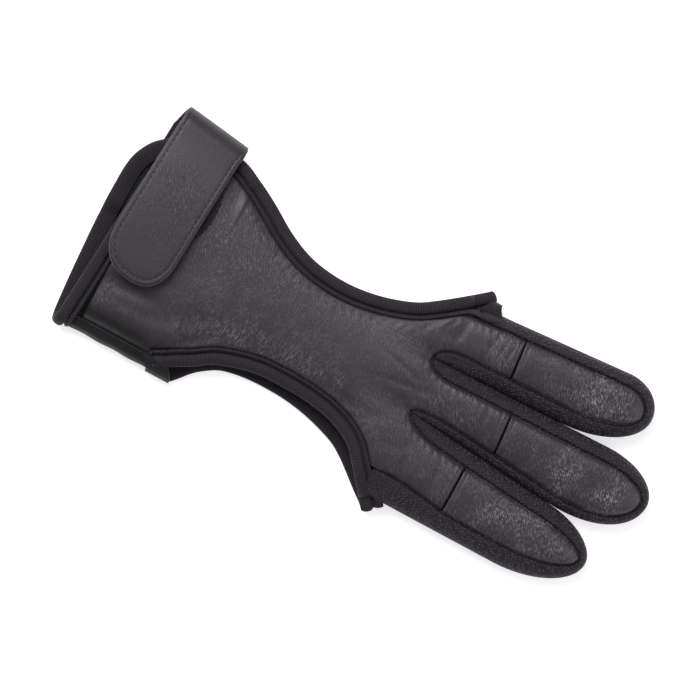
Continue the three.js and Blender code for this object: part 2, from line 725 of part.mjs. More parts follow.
function closureStrap() {
  const rows = [];
  const add = (part, s) => rows.push([part, s]);
  [1, 0.75, 0.5, 0.25, 0].forEach((s) => add('root', s));
  [0.14, 0.28, 0.42, 0.56, 0.7, 0.85].forEach((s) => add('fold', s));
  strapStations().filter((s) => s === 0 || s > strapFrame(0).radius).forEach((s) => add('tab', s || strapFrame(0).radius));
  const columns = [-1, -0.5, 0, 0.5, 1];
  const grid = (offset) => rows.map(([part, s]) => columns.map((w) => strapPoint(w, part, s, offset)));
  return solidOf(wall(grid(strapThickness / 2), grid(-strapThickness / 2)));
}

// A patch of the fastener: a slab with cut corners that follows the leather at a height over it.
function patch(length, width, along, across, lift) {
  const corner = 3;
  const steps = stations(-length / 2, length / 2, 5);
  const columns = [-1, -0.5, 0, 0.5, 1];
  const at = (rise) => steps.map((d) => columns.map((w) => {
    const cut = clamp((Math.abs(d) - (length / 2 - corner)) / corner) * corner;
    const y = across + d;
    const x = along - strapLean * (strapFold - y) + w * (width / 2 - cut);
    return new THREE.Vector3(x, y, leatherTop(x, y) + lift + rise);
  }));
  return solidOf(wall(at(0), at(patchThickness)));
}

const tabMiddle = strapFold - strapLength + hookPatchInset + hookPatchLength / 2;
const loopPatch = () => patch(loopPatchLength, loopPatchWidth, strapAlong + loopPatchShift, tabMiddle, seamGap);
const hookPatch = () => patch(hookPatchLength, hookPatchWidth, strapAlong, tabMiddle,
  seamGap * 2 + patchThickness);

// Materials in the photo's colours

const finish = (color, roughness) => new THREE.MeshStandardMaterial({ color, roughness, metalness: 0 });
const palmFinish = finish(0x49454a, 0.55);
const tipFinish = finish(0x4b474c, 0.5);
const meshFinish = finish(0x2a292c, 0.9);
const fabricFinish = finish(0x232325, 0.85);
const tapeFinish = finish(0x2b2b2c, 0.85);
const strapFinish = finish(0x4c474d, 0.5);
const patchFinish = finish(0x1c1c1d, 0.95);

const glove = new THREE.Group();

function place(name, solid, material) {
  const made = solid.getMesh();
  const geometry = new THREE.BufferGeometry();
  const flat = [];
  for (let i = 0; i < made.vertProperties.length; i += made.numProp) {
    flat.push(made.vertProperties[i], made.vertProperties[i + 1], made.vertProperties[i + 2]);
  }
  geometry.setAttribute('position', new THREE.Float32BufferAttribute(flat, 3));
  geometry.setIndex(Array.from(made.triVerts));
  geometry.computeVertexNormals();
  const mesh = new THREE.Mesh(geometry, material);
  mesh.name = name;
  glove.add(mesh);
}

place('palm_leather', palmLeather(), palmFinish);
fingers.forEach((finger, number) => {
  place(`${finger.name}_tip_leather`, tipLeather(number), tipFinish);
  place(`${finger.name}_stall_mesh`, stallMesh(number), meshFinish);
});
place('back_panel', backPanel(), fabricFinish);
place('thumb_opening_binding',
  solidOf(closedLoop(tapeLoop(openingLoop(thumbFrontCurve, thumbBackCurve, 1, { near: 1, far: 1 })))), tapeFinish);
place('wrist_edge_binding',
  solidOf(closedLoop(tapeLoop(openingLoop(outerFrontCurve, outerBackCurve, -1, { near: 3.2, far: 1 })))), tapeFinish);
place('closure_strap', closureStrap(), strapFinish);
place('hook_patch', hookPatch(), patchFinish);
place('loop_patch', loopPatch(), patchFinish);

// The frame's origin is the middle of the glove's underside.
const box = new THREE.Box3().setFromObject(glove);
glove.children.forEach((mesh) => mesh.position.set(
  -(box.min.x + box.max.x) / 2, -(box.min.y + box.max.y) / 2, -box.min.z));

export default glove;
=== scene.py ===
import math

import bpy
import numpy as np
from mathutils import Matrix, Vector


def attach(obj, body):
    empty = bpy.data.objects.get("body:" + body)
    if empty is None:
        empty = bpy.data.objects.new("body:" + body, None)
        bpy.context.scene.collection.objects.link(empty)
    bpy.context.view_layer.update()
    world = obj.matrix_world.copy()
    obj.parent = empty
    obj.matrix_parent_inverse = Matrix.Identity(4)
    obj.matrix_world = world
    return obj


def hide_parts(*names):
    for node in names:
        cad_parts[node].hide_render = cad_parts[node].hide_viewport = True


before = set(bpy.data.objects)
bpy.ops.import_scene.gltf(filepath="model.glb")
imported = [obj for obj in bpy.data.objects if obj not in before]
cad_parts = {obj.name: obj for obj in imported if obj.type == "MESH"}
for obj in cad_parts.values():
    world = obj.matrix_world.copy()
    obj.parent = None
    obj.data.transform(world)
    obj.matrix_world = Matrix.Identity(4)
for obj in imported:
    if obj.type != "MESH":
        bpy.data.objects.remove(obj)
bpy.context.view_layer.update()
bpy.ops.object.select_all(action="DESELECT")
print("the packed glove is loaded")

# The glove lies palm up. Lengths below are in millimetres: x from the wrist edge to the fingertips,
# y from the hand's centre line, z up from the surface.
middleOfFrame = (104.14, -0.89)

palm = {
    "length": 127, "height": 12.5, "halfWristLow": 38.5, "halfWristHigh": 37,
    "leather": 1.3, "sideSeam": -35.2, "leafStart": 122,
    # along, then the height at the low side, the crown and the high side as shares of the height
    "sections": [(0, 0.74, 0.94, 0.72), (0.16, 0.77, 0.97, 0.74), (0.33, 0.75, 0.97, 0.73),
                 (0.5, 0.76, 0.95, 0.76), (0.66, 0.76, 0.94, 0.76), (0.82, 0.74, 0.98, 0.74),
                 (1, 0.6, 1.04, 0.58)],
    # the cuff's half widths on each side as shares, up to where the openings begin, and the arch's roundness
    "cuffLow": 0.985, "cuffHigh": 0.97, "thumbFrom": 0.331, "outerFrom": 0.33, "arch": 2.4,
    # where the arch gives way to the stalls' humps, and over how long a stretch it has, before the palm's end
    "humpsFrom": 0.76, "humpsReady": 5,
    # how far the valleys between the humps are smoothed to each side, and up to where
    "valleySoft": 3.2, "valleyEnd": 124.5, "valleyFade": 9,
    "cuffEnd": 60,  # the cuff's straight sides end before here, and the stalls' lines take over
}

stalls = [
    {"name": "ring", "length": 72.3, "baseWidth": 31.2, "width": 26.4, "crossSeam": 21.4, "slant": 0.01,
     "apex": 0.587, "roundLow": 28, "roundHigh": 19, "low": 6.2, "high": 5.2, "tip": 2.8,
     "starts": (121.5, 122)},
    {"name": "middle", "length": 81.3, "baseWidth": 19.8, "width": 25.7, "crossSeam": 27.2, "slant": -0.07,
     "apex": 0.595, "roundLow": 31, "roundHigh": 21, "low": 3.1, "high": 4.8, "tip": 2.6,
     "starts": (122, 122)},
    {"name": "index", "length": 69, "baseWidth": 22.6, "width": 25.1, "crossSeam": 20, "slant": -0.085,
     "apex": 0.55, "roundLow": 27, "roundHigh": 14, "low": 5, "high": 4.2, "tip": 3.4,
     "starts": (122, 129)},
]
# what the stalls share: the length over which they reach their width, the middle one's sideways drift over it,
# the lengths over which the valleys deepen and the tips fall, and heights as shares of the crown's
stallForm = {"height": 14, "taper": 50, "middleLean": -1.65, "deepens": 24, "tipFall": 17,
             "baseValley": 0.86, "shoulder": 0.5, "tip": 0.42, "roundPower": 2.25, "flatPower": 4}
halfGap = 0.15  # half the gap that a seam closes
# where the leather parts between two stalls, and over how long the knit between them reaches its full width
leaves = [(124, 15), (121.6, 9)]

# centre lines of the bound tape: along the palm and across its half width, as shares
tapeLines = {
    "thumbFront": [(0.308, 0.905), (0.332, 0.862), (0.362, 0.801), (0.398, 0.735), (0.457, 0.614),
                   (0.551, 0.523), (0.63, 0.503), (0.724, 0.513), (0.811, 0.567), (0.88, 0.676),
                   (0.931, 0.85), (0.998, 1.098)],
    "thumbBack": [(0.357, 0.963), (0.378, 0.886), (0.395, 0.819), (0.42, 0.745), (0.465, 0.653),
                  (0.52, 0.606), (0.585, 0.586), (0.666, 0.59), (0.746, 0.63), (0.828, 0.708),
                  (0.874, 0.789), (0.912, 0.878), (0.95, 0.972), (0.982, 1.045)],
    "outerFront": [(0.0504, -0.93), (0.061, -0.5), (0.0705, 0), (0.0785, 0.35), (0.0905, 0.66), (0.11, 0.86),
                   (0.175, 0.955), (0.26, 0.98), (0.33, 0.885), (0.39, 0.775), (0.465, 0.615), (0.543, 0.5),
                   (0.622, 0.455), (0.7, 0.463), (0.78, 0.524), (0.858, 0.637), (0.913, 0.78), (0.97, 0.958),
                   (1.024, 1.135)],
    "outerBack": [(0.0345, -0.94), (0.0265, -0.62), (0.0175, -0.1), (0.0165, 0.27), (0.0195, 0.5),
                  (0.032, 0.638), (0.056, 0.76), (0.1, 0.865), (0.175, 0.94), (0.26, 0.955), (0.33, 0.855),
                  (0.39, 0.735), (0.465, 0.575), (0.543, 0.46), (0.622, 0.415), (0.7, 0.421), (0.78, 0.478),
                  (0.858, 0.59), (0.913, 0.735), (0.965, 0.91), (1.01, 1.07)],
}
tapeStep = 0.25  # between the points of a tape's line in the plan


def mix(a, b, share):
    return a + (b - a) * share


def ease(share):
    share = np.clip(share, 0, 1)
    return share * share * (3 - 2 * share)


def bell(distance, width):
    return np.exp(-(distance / width) ** 2)


def unit(vectors):
    return vectors / np.linalg.norm(vectors, axis=1)[:, None]


def place(x, y, z):
    x, y, z = np.broadcast_arrays(x, y, z)
    return np.stack([x - middleOfFrame[0], y - middleOfFrame[1], z], axis=-1) / 1000


def lineBetween(number, x):
    # the four long lines that the stalls lie between, from the ring finger's outer side
    share = (x - palm["length"]) / stallForm["taper"]
    ring, middle, index = [mix(s["baseWidth"], s["width"], share) for s in stalls]
    low = stallForm["middleLean"] * share - middle / 2
    high = stallForm["middleLean"] * share + middle / 2
    return [low - ring, low, high, high + index][number]


def tipOf(number):
    return palm["length"] + stalls[number]["length"]


def ridgeAt(number, x):
    return mix(lineBetween(number, x), lineBetween(number + 1, x), stalls[number]["apex"])


def outlineShare(number, x, y, low=0.0, high=0.0, tip=0.0):
    # 1 on a stall's outline taken in by the three insets, 0 on its ridge
    stall = stalls[number]
    ridge = ridgeAt(number, x)
    below = y < ridge
    half = np.where(below, ridge - lineBetween(number, x) - low, lineBetween(number + 1, x) - high - ridge)
    rounded = np.where(below, stall["roundLow"], stall["roundHigh"]) - tip
    t = np.clip(1 - (tipOf(number) - tip - x) / rounded, 0, 2)
    return np.sqrt(((y - ridge) / half) ** 2 + t * t)


def stallSpan(number, x, low=0.0, high=0.0, tip=0.0):
    stall = stalls[number]
    ridge = ridgeAt(number, x)
    sides = []
    for line, move, rounded in ((number, low, stall["roundLow"]), (number + 1, -high, stall["roundHigh"])):
        t = np.clip(1 - (tipOf(number) - tip - x) / (rounded - tip), 0, 1)
        sides.append(ridge + (lineBetween(line, x) + move - ridge) * np.sqrt(1 - t * t))
    return sides


def stallHeights(number, x):
    form = stallForm
    deepens = ease((x - palm["leafStart"]) / form["deepens"])
    crown = mix(palm["height"] * palm["sections"][-1][2], form["height"], deepens)
    fall = ease((x - tipOf(number) + form["tipFall"]) / form["tipFall"])
    valley = mix(form["baseValley"], form["shoulder"], deepens)
    sides = []
    for line in (number, number + 1):
        side = crown * (form["shoulder"] if line in (0, 3) else valley)
        sides.append(mix(side, form["tip"] * crown, fall))
    return crown, sides[0], sides[1]


def domeShare(number, x, y):
    # 0 on the ridge and 1 on the outline, with the two sides' rounding at the tip blended across the finger
    stall = stalls[number]
    ridge = ridgeAt(number, x)
    low, high = stallSpan(number, x)
    below = y < ridge
    half = np.maximum(np.where(below, ridge - low, high - ridge), 0.02)
    u = np.clip((y - ridge) / half, -1, 1)
    toTip = tipOf(number) - x
    into = [np.clip(1 - toTip / stall[side], 0, 1) for side in ("roundLow", "roundHigh")]
    t = mix(into[0], into[1], (u + 1) / 2)
    return np.sqrt(np.clip(u * u * (1 - t * t) + t * t, 0, 1))


def stallTop(number, x, y):
    share = domeShare(number, x, y)
    crown, low, high = stallHeights(number, x)
    shoulder = np.where(y < ridgeAt(number, x), low, high)
    power = stallForm["roundPower"]
    return shoulder + (crown - shoulder) * (1 - share ** power) ** (1 / power)


def stallBottom(number, x, y):
    share = domeShare(number, x, y)
    low, high = stallHeights(number, x)[1:]
    shoulder = np.where(y < ridgeAt(number, x), low, high)
    power = stallForm["flatPower"]
    return shoulder * (1 - (1 - share ** power) ** (1 / power))


def halfLow(x):
    return mix(palm["halfWristLow"], -lineBetween(0, palm["length"]), np.clip(x / palm["length"], 0, 1))


def halfHigh(x):
    return mix(palm["halfWristHigh"], lineBetween(3, palm["length"]), np.clip(x / palm["length"], 0, 1))


def tapePath(name):
    # a table's rows as one smooth line in the plan
    side = -1 if name.startswith("thumb") else 1
    rows = []
    for along, across in tapeLines[name]:
        x = along * palm["length"]
        half = halfLow(x) if across * side < 0 else halfHigh(x)
        rows.append((x, across * side * half))
    p = np.array(rows)
    p = np.vstack([p[0], p, p[-1]])
    t = np.linspace(0, 1, 60, endpoint=False)[:, None]
    pieces = []
    for i in range(1, len(p) - 2):
        u, v = (p[i + 1] - p[i - 1]) / 2, (p[i + 2] - p[i]) / 2
        a, b = p[i], p[i + 1]
        pieces.append((2 * a - 2 * b + u + v) * t ** 3 + (3 * b - 3 * a - 2 * u - v) * t ** 2 + u * t + a)
    return evenly(np.vstack(pieces + [p[-1:]]), tapeStep)


def evenly(points, step):
    lengths = np.concatenate([[0], np.cumsum(np.linalg.norm(np.diff(points, axis=0), axis=1))])
    count = max(2, int(round(lengths[-1] / step)))
    at = np.linspace(0, lengths[-1], count + 1)
    return np.stack([np.interp(at, lengths, points[:, k]) for k in range(points.shape[1])], axis=1)


def outward(path, side):
    tangent = unit(np.gradient(path, axis=0))
    return np.stack([tangent[:, 1] * side, -tangent[:, 0] * side], axis=1)


paths = {name: tapePath(name) for name in tapeLines}
outs = {name: outward(path, 1 if name.startswith("thumb") else -1) for name, path in paths.items()}


def sewnEdge(name, inset):
    return paths[name] - outs[name] * inset


def acrossTable(name, x):
    rows = np.array(tapeLines[name])
    if name.startswith("outer"):
        rows = rows[np.argmax(rows[:, 0] > 0.3):]  # without the wrist's edge, where one place has two values
    return np.interp(x / palm["length"], rows[:, 0], rows[:, 1])


def palmTop(x, y):
    share = np.clip(x / palm["length"], 0, 1)
    rows = np.array(palm["sections"])
    low = -halfLow(x) * np.where(share < palm["thumbFrom"], palm["cuffLow"], acrossTable("thumbFront", x))
    high = halfHigh(x) * np.where(share < palm["outerFrom"], palm["cuffHigh"], acrossTable("outerFront", x))
    v = np.clip((2 * y - low - high) / (high - low), -1.1, 1.1)
    smooth = [smoothColumn(rows, k, share) for k in (1, 2, 3)]
    edge = palm["height"] * np.where(v < 0, smooth[0], smooth[2])
    crown = palm["height"] * smooth[1]
    return edge + (crown - edge) * (1 - np.abs(v) ** palm["arch"])


def smoothColumn(rows, column, share):
    i = np.clip(np.searchsorted(rows[:, 0], share, side="right") - 1, 0, len(rows) - 2)
    slopes = np.gradient(rows[:, column], rows[:, 0])
    span = rows[i + 1, 0] - rows[i, 0]
    t = np.clip((share - rows[i, 0]) / span, 0, 1)
    p, q, u, v = rows[i, column], rows[i + 1, column], slopes[i] * span, slopes[i + 1] * span
    return p + t * (u + t * (3 * (q - p) - 2 * u - v + t * (2 * (p - q) + u + v)))


def humps(x, y):
    number = (y > lineBetween(1, x)).astype(int) + (y > lineBetween(2, x)).astype(int)
    return np.choose(number, [stallTop(k, x, y) for k in range(3)])


def leatherTop(x, y):
    # the hand's arch, taken over by the three stalls' humps
    x, y = np.broadcast_arrays(np.asarray(x, float), np.asarray(y, float))
    # the valleys between the humps are soft where the leather is still in one piece
    soft = palm["valleySoft"] * ease((palm["valleyEnd"] - x) / palm["valleyFade"])
    over = 0
    for move, share in ((-1, 0.12), (-0.6, 0.2), (-0.2, 0.18), (0.2, 0.18), (0.6, 0.2), (1, 0.12)):
        over = over + share * humps(x, y + soft * move)
    start, ready = palm["humpsFrom"], 1 - palm["humpsReady"] / palm["length"]
    return mix(palmTop(x, y), over, ease((x / palm["length"] - start) / (ready - start)))


# Soft creases in the leather: centre, half length and half width in mm, depth in mm and turn in degrees
creases = [
    (25, -33.6, 24, 4.3, 2.4, -1), (21, -19.1, 9.5, 2.4, 0.7, 3), (22, -23.6, 11, 3.2, 0.45, 0),
    (13, -20, 5, 7, 0.4, 10), (104, -17.5, 11, 1.8, 0.22, 10),
    (109, -19.5, 9, 1.7, 0.15, 24), (99, -15.8, 8, 1.3, 0.2, 4), (47, -24.5, 9, 2.2, 0.55, 40),
    (40, -20, 12, 3.0, 0.35, 24), (56, 19, 10, 2.6, 0.4, -32), (48, 24, 9, 1.6, 0.35, -34),
    (38, 26, 2.2, 6, 0.4, 12), (118, 24, 7, 1.2, 0.35, 62), (126, 22, 1.4, 6, 0.3, -8),
    (137, 23, 1.2, 8, 0.32, -8), (140.5, 22, 0.8, 7, 0.28, -8), (143.4, 22.5, 0.7, 6.5, 0.25, -8),
    (116, -3, 8, 1.2, 0.25, 8), (112, 3, 7, 1.0, 0.2, -14), (146, -2, 1.1, 7, 0.22, -4),
    (141, -25, 1.4, 7, 0.25, 6), (130, -27, 1.3, 7, 0.3, 22), (125, -22, 6, 1.8, 0.14, 30),
    (172, 22, 2.2, 9, 0.2, -10), (182, 25, 1.8, 7, 0.18, -14), (178, -5, 2.0, 9, 0.2, -12),
    (189, -2, 1.8, 8, 0.2, -14), (168, -28, 2.0, 8, 0.18, -8), (181, -26, 1.8, 7, 0.2, -14),
]

# small folds in the knit where the leather parts, in the same columns
leafFolds = [
    (126.8, 9.8, 2.6, 0.55, 0.55, 26), (131.5, 8.0, 3.4, 0.6, 0.5, 27), (128.5, 12.4, 2.2, 0.5, 0.35, 6),
    (127.8, -10.4, 2.3, 0.55, 0.5, 26), (131.5, -12.6, 2.6, 0.55, 0.35, 30), (129.5, -8.2, 2.2, 0.5, 0.3, -2),
]


def foldDepth(x, y, folds):
    depth = np.zeros(np.shape(x))
    for cx, cy, length, width, deep, turn in folds:
        turn = math.radians(turn)
        dx, dy = x - cx, y - cy
        a = (dx * math.cos(turn) + dy * math.sin(turn)) / length
        b = (dy * math.cos(turn) - dx * math.sin(turn)) / width
        depth += deep * np.exp(-a * a - b * b)
    return depth


# Where the fine wrinkled grain shows, with its painted highlight: centre, half length, half width and amount
grainPatches = [
    (60, -16, 9, 4.5, 0.6), (80, -14, 15, 4, 0.55), (37, 10, 3, 10, 0.8), (50, -19, 8, 6, 0.4),
    (97, -13, 12, 4.5, 0.35), (60, 8, 18, 7, 0.2), (80, 10, 18, 5, 0.3), (100, 12, 12, 6, 0.3),
    (45, 2, 12, 8, 0.2), (13.5, -24, 2.5, 5, 1.3), (46, 14, 8, 8, 0.3), (140.5, 23, 4, 8, 1.3),
    (118, 14, 9, 5, 0.15), (138, -3, 8, 6, 0.5), (128, -4, 8, 5, 0.3), (142, -25, 6, 7, 0.45),
    (112, -20, 8, 6, 0.35), (176, 24, 5, 8, 1.5), (166, 27, 5, 6, 0.25), (185, 22, 6, 7, 0.75),
    (179, -5, 4.5, 8, 1.0), (195, -3, 5, 7, 1.05), (170, -2, 5, 7, 0.2), (173, -25, 9, 8, 0.75),
    (187, -24, 6, 6, 0.65), (162, -27, 5, 6, 0.35),
]
grainEverywhere = 0.2
grainMost = 1.8


# Beside the thumb opening the wrinkles lean the other way: up to where across, between where along, and over
# how long each of these fades
otherLie = {"across": 8, "acrossFade": 14, "from": 34, "fromFade": 10, "to": 104, "toFade": 12}


def grainLie(x, y):
    beside = ease((otherLie["across"] - y) / otherLie["acrossFade"])
    begins = ease((x - otherLie["from"]) / otherLie["fromFade"])
    return beside * begins * ease((otherLie["to"] - x) / otherLie["toFade"])


def grainAmount(x, y):
    amount = np.full(np.shape(x), grainEverywhere)
    for cx, cy, length, width, value in grainPatches:
        amount += value * np.exp(-((x - cx) / length) ** 2 - ((y - cy) / width) ** 2)
    return np.clip(amount, 0, grainMost)


def toEdge(x, y, lines):
    # distance in the plan to the nearest of some lines
    points = np.stack([np.ravel(x), np.ravel(y)], axis=1)
    best = np.full(len(points), 1e9)
    for line in lines:
        for a, b in zip(line[:-1], line[1:]):
            d = b - a
            span = max(float(d @ d), 1e-9)
            t = np.clip(((points - a) @ d) / span, 0, 1)
            best = np.minimum(best, np.hypot(*(points - a - t[:, None] * d).T))
    return best.reshape(np.shape(x))


def selectOnly(*pieces):
    bpy.ops.object.select_all(action="DESELECT")
    for piece in pieces:
        piece.select_set(True)
    bpy.context.view_layer.objects.active = pieces[0]


def weld(threshold, flip=False):
    # the active piece's points that lie together become one, and its faces turn round if asked
    bpy.ops.object.mode_set(mode="EDIT")
    bpy.ops.mesh.select_all(action="SELECT")
    bpy.ops.mesh.remove_doubles(threshold=threshold)
    if flip:
        bpy.ops.mesh.flip_normals()
    bpy.ops.object.mode_set(mode="OBJECT")


def makeSheet(name, columns, rows, shape, flip=False):
    # a flat grid whose points are moved on to a surface; shape takes and gives whole arrays
    bpy.ops.object.select_all(action="DESELECT")
    bpy.ops.mesh.primitive_grid_add(x_subdivisions=columns, y_subdivisions=rows, size=2)
    piece = bpy.context.object
    piece.name = piece.data.name = name
    flat = np.zeros(len(piece.data.vertices) * 3)
    piece.data.vertices.foreach_get("co", flat)
    u, v = (flat.reshape(-1, 3)[:, 0] + 1) / 2, (flat.reshape(-1, 3)[:, 1] + 1) / 2
    points, surface = shape(u, v)
    piece.data.vertices.foreach_set("co", points.ravel())
    corners = np.zeros(len(piece.data.loops), int)
    piece.data.loops.foreach_get("vertex_index", corners)
    piece.data.uv_layers[0].name = "surface"
    piece.data.uv_layers[0].data.foreach_set("uv", surface[corners].ravel())
    piece.data.update()
    weld(0.000004, flip)
    return piece


def applyModifiers(piece):
    selectOnly(piece)
    for modifier in list(piece.modifiers):
        bpy.ops.object.modifier_apply(modifier=modifier.name)


def thicken(piece, wall, bevel=0.0, segments=2):
    # the wall grows inwards from the shaped surface, and its edges are rounded if asked
    solid = piece.modifiers.new("wall", "SOLIDIFY")
    solid.thickness = wall / 1000
    solid.offset = -1
    if bevel:
        edge = piece.modifiers.new("edge", "BEVEL")
        edge.width = bevel / 1000
        edge.segments = segments
        edge.limit_method = "ANGLE"
        edge.angle_limit = math.radians(50)
    applyModifiers(piece)


def finishPiece(piece, material, slotName, *nodes, smooth=40):
    selectOnly(piece)
    bpy.ops.object.shade_smooth_by_angle(angle=math.radians(smooth))
    piece.data.materials.clear()
    piece.data.materials.append(material)
    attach(piece, "root")
    if nodes:
        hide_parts(*nodes)
    piece.select_set(False)
    return piece


def sewStitches(name, spots, along, up, size, material, slotName, *nodes):
    # one stitch is modelled, and its copies are laid along a seam and joined
    bpy.ops.object.select_all(action="DESELECT")
    bpy.ops.mesh.primitive_uv_sphere_add(segments=8, ring_count=5, radius=0.5)
    piece = bpy.context.object
    piece.name = piece.data.name = name
    one = np.array([v.co[:] for v in piece.data.vertices]) * np.array(size)
    faces = [tuple(f.vertices) for f in piece.data.polygons]
    along = unit(along)
    side = unit(np.cross(up, along))
    up = np.cross(along, side)
    points = spots[:, None] + one[None, :, 0:1] * along[:, None] + one[None, :, 1:2] * side[:, None]
    points = (points + one[None, :, 2:3] * up[:, None]).reshape(-1, 3)
    copies = [tuple(k + i * len(one) for k in face) for i in range(len(spots)) for face in faces]
    row = bpy.data.meshes.new(name)
    row.from_pydata([tuple(p) for p in place(*points.T)], [], copies)
    piece.data = row
    piece.data.name = name
    finishPiece(piece, material, slotName, *nodes, smooth=80)


def joinPieces(pieces, name):
    selectOnly(*pieces)
    bpy.ops.object.join()
    piece = bpy.context.object
    piece.name = piece.data.name = name
    return piece


def paintAttribute(piece, name, values):
    layer = piece.data.attributes.new(name, "FLOAT", "POINT")
    layer.data.foreach_set("value", np.asarray(values, float))


def planOf(piece):
    flat = np.zeros(len(piece.data.vertices) * 3)
    piece.data.vertices.foreach_get("co", flat)
    flat = flat.reshape(-1, 3) * 1000
    return flat[:, 0] + middleOfFrame[0], flat[:, 1] + middleOfFrame[1]


def movePoints(piece, x, y, z):
    piece.data.vertices.foreach_set("co", place(x, y, z).ravel())
    piece.data.update()


# Materials


def linear(text):
    values = [int(text[i:i + 2], 16) / 255 for i in (0, 2, 4)]
    return [v / 12.92 if v <= 0.04045 else ((v + 0.055) / 1.055) ** 2.4 for v in values] + [1]


def addNode(tree, kind, settings=None, **links):
    # settings name a property, or after in: an input; links name the input that a socket feeds
    node = tree.nodes.new("ShaderNode" + kind)
    for key, value in (settings or {}).items():
        if key.startswith("in:"):
            node.inputs[int(key[3:]) if key[3:].isdigit() else key[3:]].default_value = value
        else:
            setattr(node, key, value)
    for key, source in links.items():
        tree.links.new(source, node.inputs[int(key[1:]) if key[1:].isdigit() else key.replace("_", " ")])
    return node


def newMaterial(name, values):
    material = bpy.data.materials.new(name)
    material.use_nodes = True
    tree = material.node_tree
    shader = tree.nodes["Principled BSDF"]
    for key, value in values.items():
        shader.inputs[key].default_value = value
    return material, tree, shader


# the painted shade on the leather: its colour, and how much rougher the leather is where it lies
paintedShade = {"colour": "060506", "roughens": 0.3}


def leatherMaterial(name, dark, light, glintColour, roughness, fold, longest):
    # Chrome-tanned sheepskin, dyed and lightly polished: an even satin film over fine pores. It wrinkles where
    # it is stretched over a finger or gathered at a seam, and the wrinkles' ridges are painted pale as a
    # painted highlight.
    material, tree, shader = newMaterial(name, {"IOR": 1.48, "Specular IOR Level": 0.5})
    where = addNode(tree, "TexCoord")
    inMm = addNode(tree, "Mapping", {"in:Scale": (1000, 1000, 1000)}, Vector=where.outputs["Object"])
    gathered = addNode(tree, "Attribute", {"attribute_name": "grain"})
    # the mask of the painted shade
    paintedShadeMask = addNode(tree, "Attribute", {"attribute_name": "dark"})
    clouds = addNode(tree, "TexNoise", {"in:Scale": 1 / 11, "in:Detail": 3.0}, Vector=inMm.outputs[0])
    # pores 1 mm apart, the finest that shows from here
    pores = addNode(tree, "TexVoronoi", {"in:Scale": 1 / 1.0, "in:Randomness": 1.0}, Vector=inMm.outputs[0])
    lies = []
    for turn, wide in ((26, 0.42), (-8, 0.44)):
        # two ways that the wrinkles lie, each a little under half a millimetre wide
        lie = addNode(tree, "Mapping", {"vector_type": "TEXTURE", "in:Scale": (wide, longest, longest),
                                        "in:Rotation": (0, 0, math.radians(turn))}, Vector=inMm.outputs[0])
        lies.append(addNode(tree, "TexNoise", {"in:Scale": 1.0, "in:Detail": 2.5, "in:Roughness": 0.5,
                                               "in:Distortion": 0.35}, Vector=lie.outputs[0]))
    which = addNode(tree, "Attribute", {"attribute_name": "lie"})
    field = addNode(tree, "Mix", _0=which.outputs["Fac"], _2=lies[0].outputs[0], _3=lies[1].outputs[0])
    ridges = addNode(tree, "MapRange", {"in:From Min": 0.46, "in:From Max": 0.77}, Value=field.outputs[0])
    drifts = addNode(tree, "TexNoise", {"in:Scale": 1 / 5.5, "in:Detail": 2.0}, Vector=inMm.outputs[0])
    patchy = addNode(tree, "MapRange", {"in:From Min": 0.38, "in:From Max": 0.6, "in:To Min": 0.4,
                                        "in:To Max": 1.15}, Value=drifts.outputs[0])
    some = addNode(tree, "Math", {"operation": "MULTIPLY"}, _0=ridges.outputs[0], _1=patchy.outputs[0])
    amount = addNode(tree, "Math", {"operation": "MULTIPLY", "use_clamp": True}, _0=some.outputs[0],
                     _1=gathered.outputs["Fac"])
    base = addNode(tree, "Mix", {"data_type": "RGBA", "in:6": linear(dark), "in:7": linear(light)},
                   _0=clouds.outputs[0])
    # painted highlight: the wrinkles' ridges are painted pale, as their glint
    withPaintedGlint = addNode(tree, "Mix", {"data_type": "RGBA", "in:7": linear(glintColour)}, _0=amount.outputs[0],
                   _6=base.outputs[2])
    # painted shade: the colour is darkened where that mask is high, and the roughness raised there
    withPaintedShade = addNode(tree, "Mix", {"data_type": "RGBA", "in:7": linear(paintedShade["colour"])},
                     _0=paintedShadeMask.outputs["Fac"], _6=withPaintedGlint.outputs[2])
    tree.links.new(withPaintedShade.outputs[2], shader.inputs["Base Color"])
    gloss = addNode(tree, "MapRange", {"in:To Min": roughness - 0.06, "in:To Max": roughness + 0.06},
                    Value=clouds.outputs[0])
    dull = addNode(tree, "Math", {"operation": "MULTIPLY_ADD", "in:1": paintedShade["roughens"]},
                   _0=paintedShadeMask.outputs["Fac"], _2=gloss.outputs[0])
    tree.links.new(dull.outputs[0], shader.inputs["Roughness"])
    grain = addNode(tree, "Bump", {"in:Strength": 0.25, "in:Distance": 0.0001},
                    Height=pores.outputs["Distance"])
    folds = addNode(tree, "Bump", {"in:Strength": 1.0, "in:Distance": fold / 1000}, Height=amount.outputs[0],
                    Normal=grain.outputs[0])
    tree.links.new(folds.outputs[0], shader.inputs["Normal"])
    return material


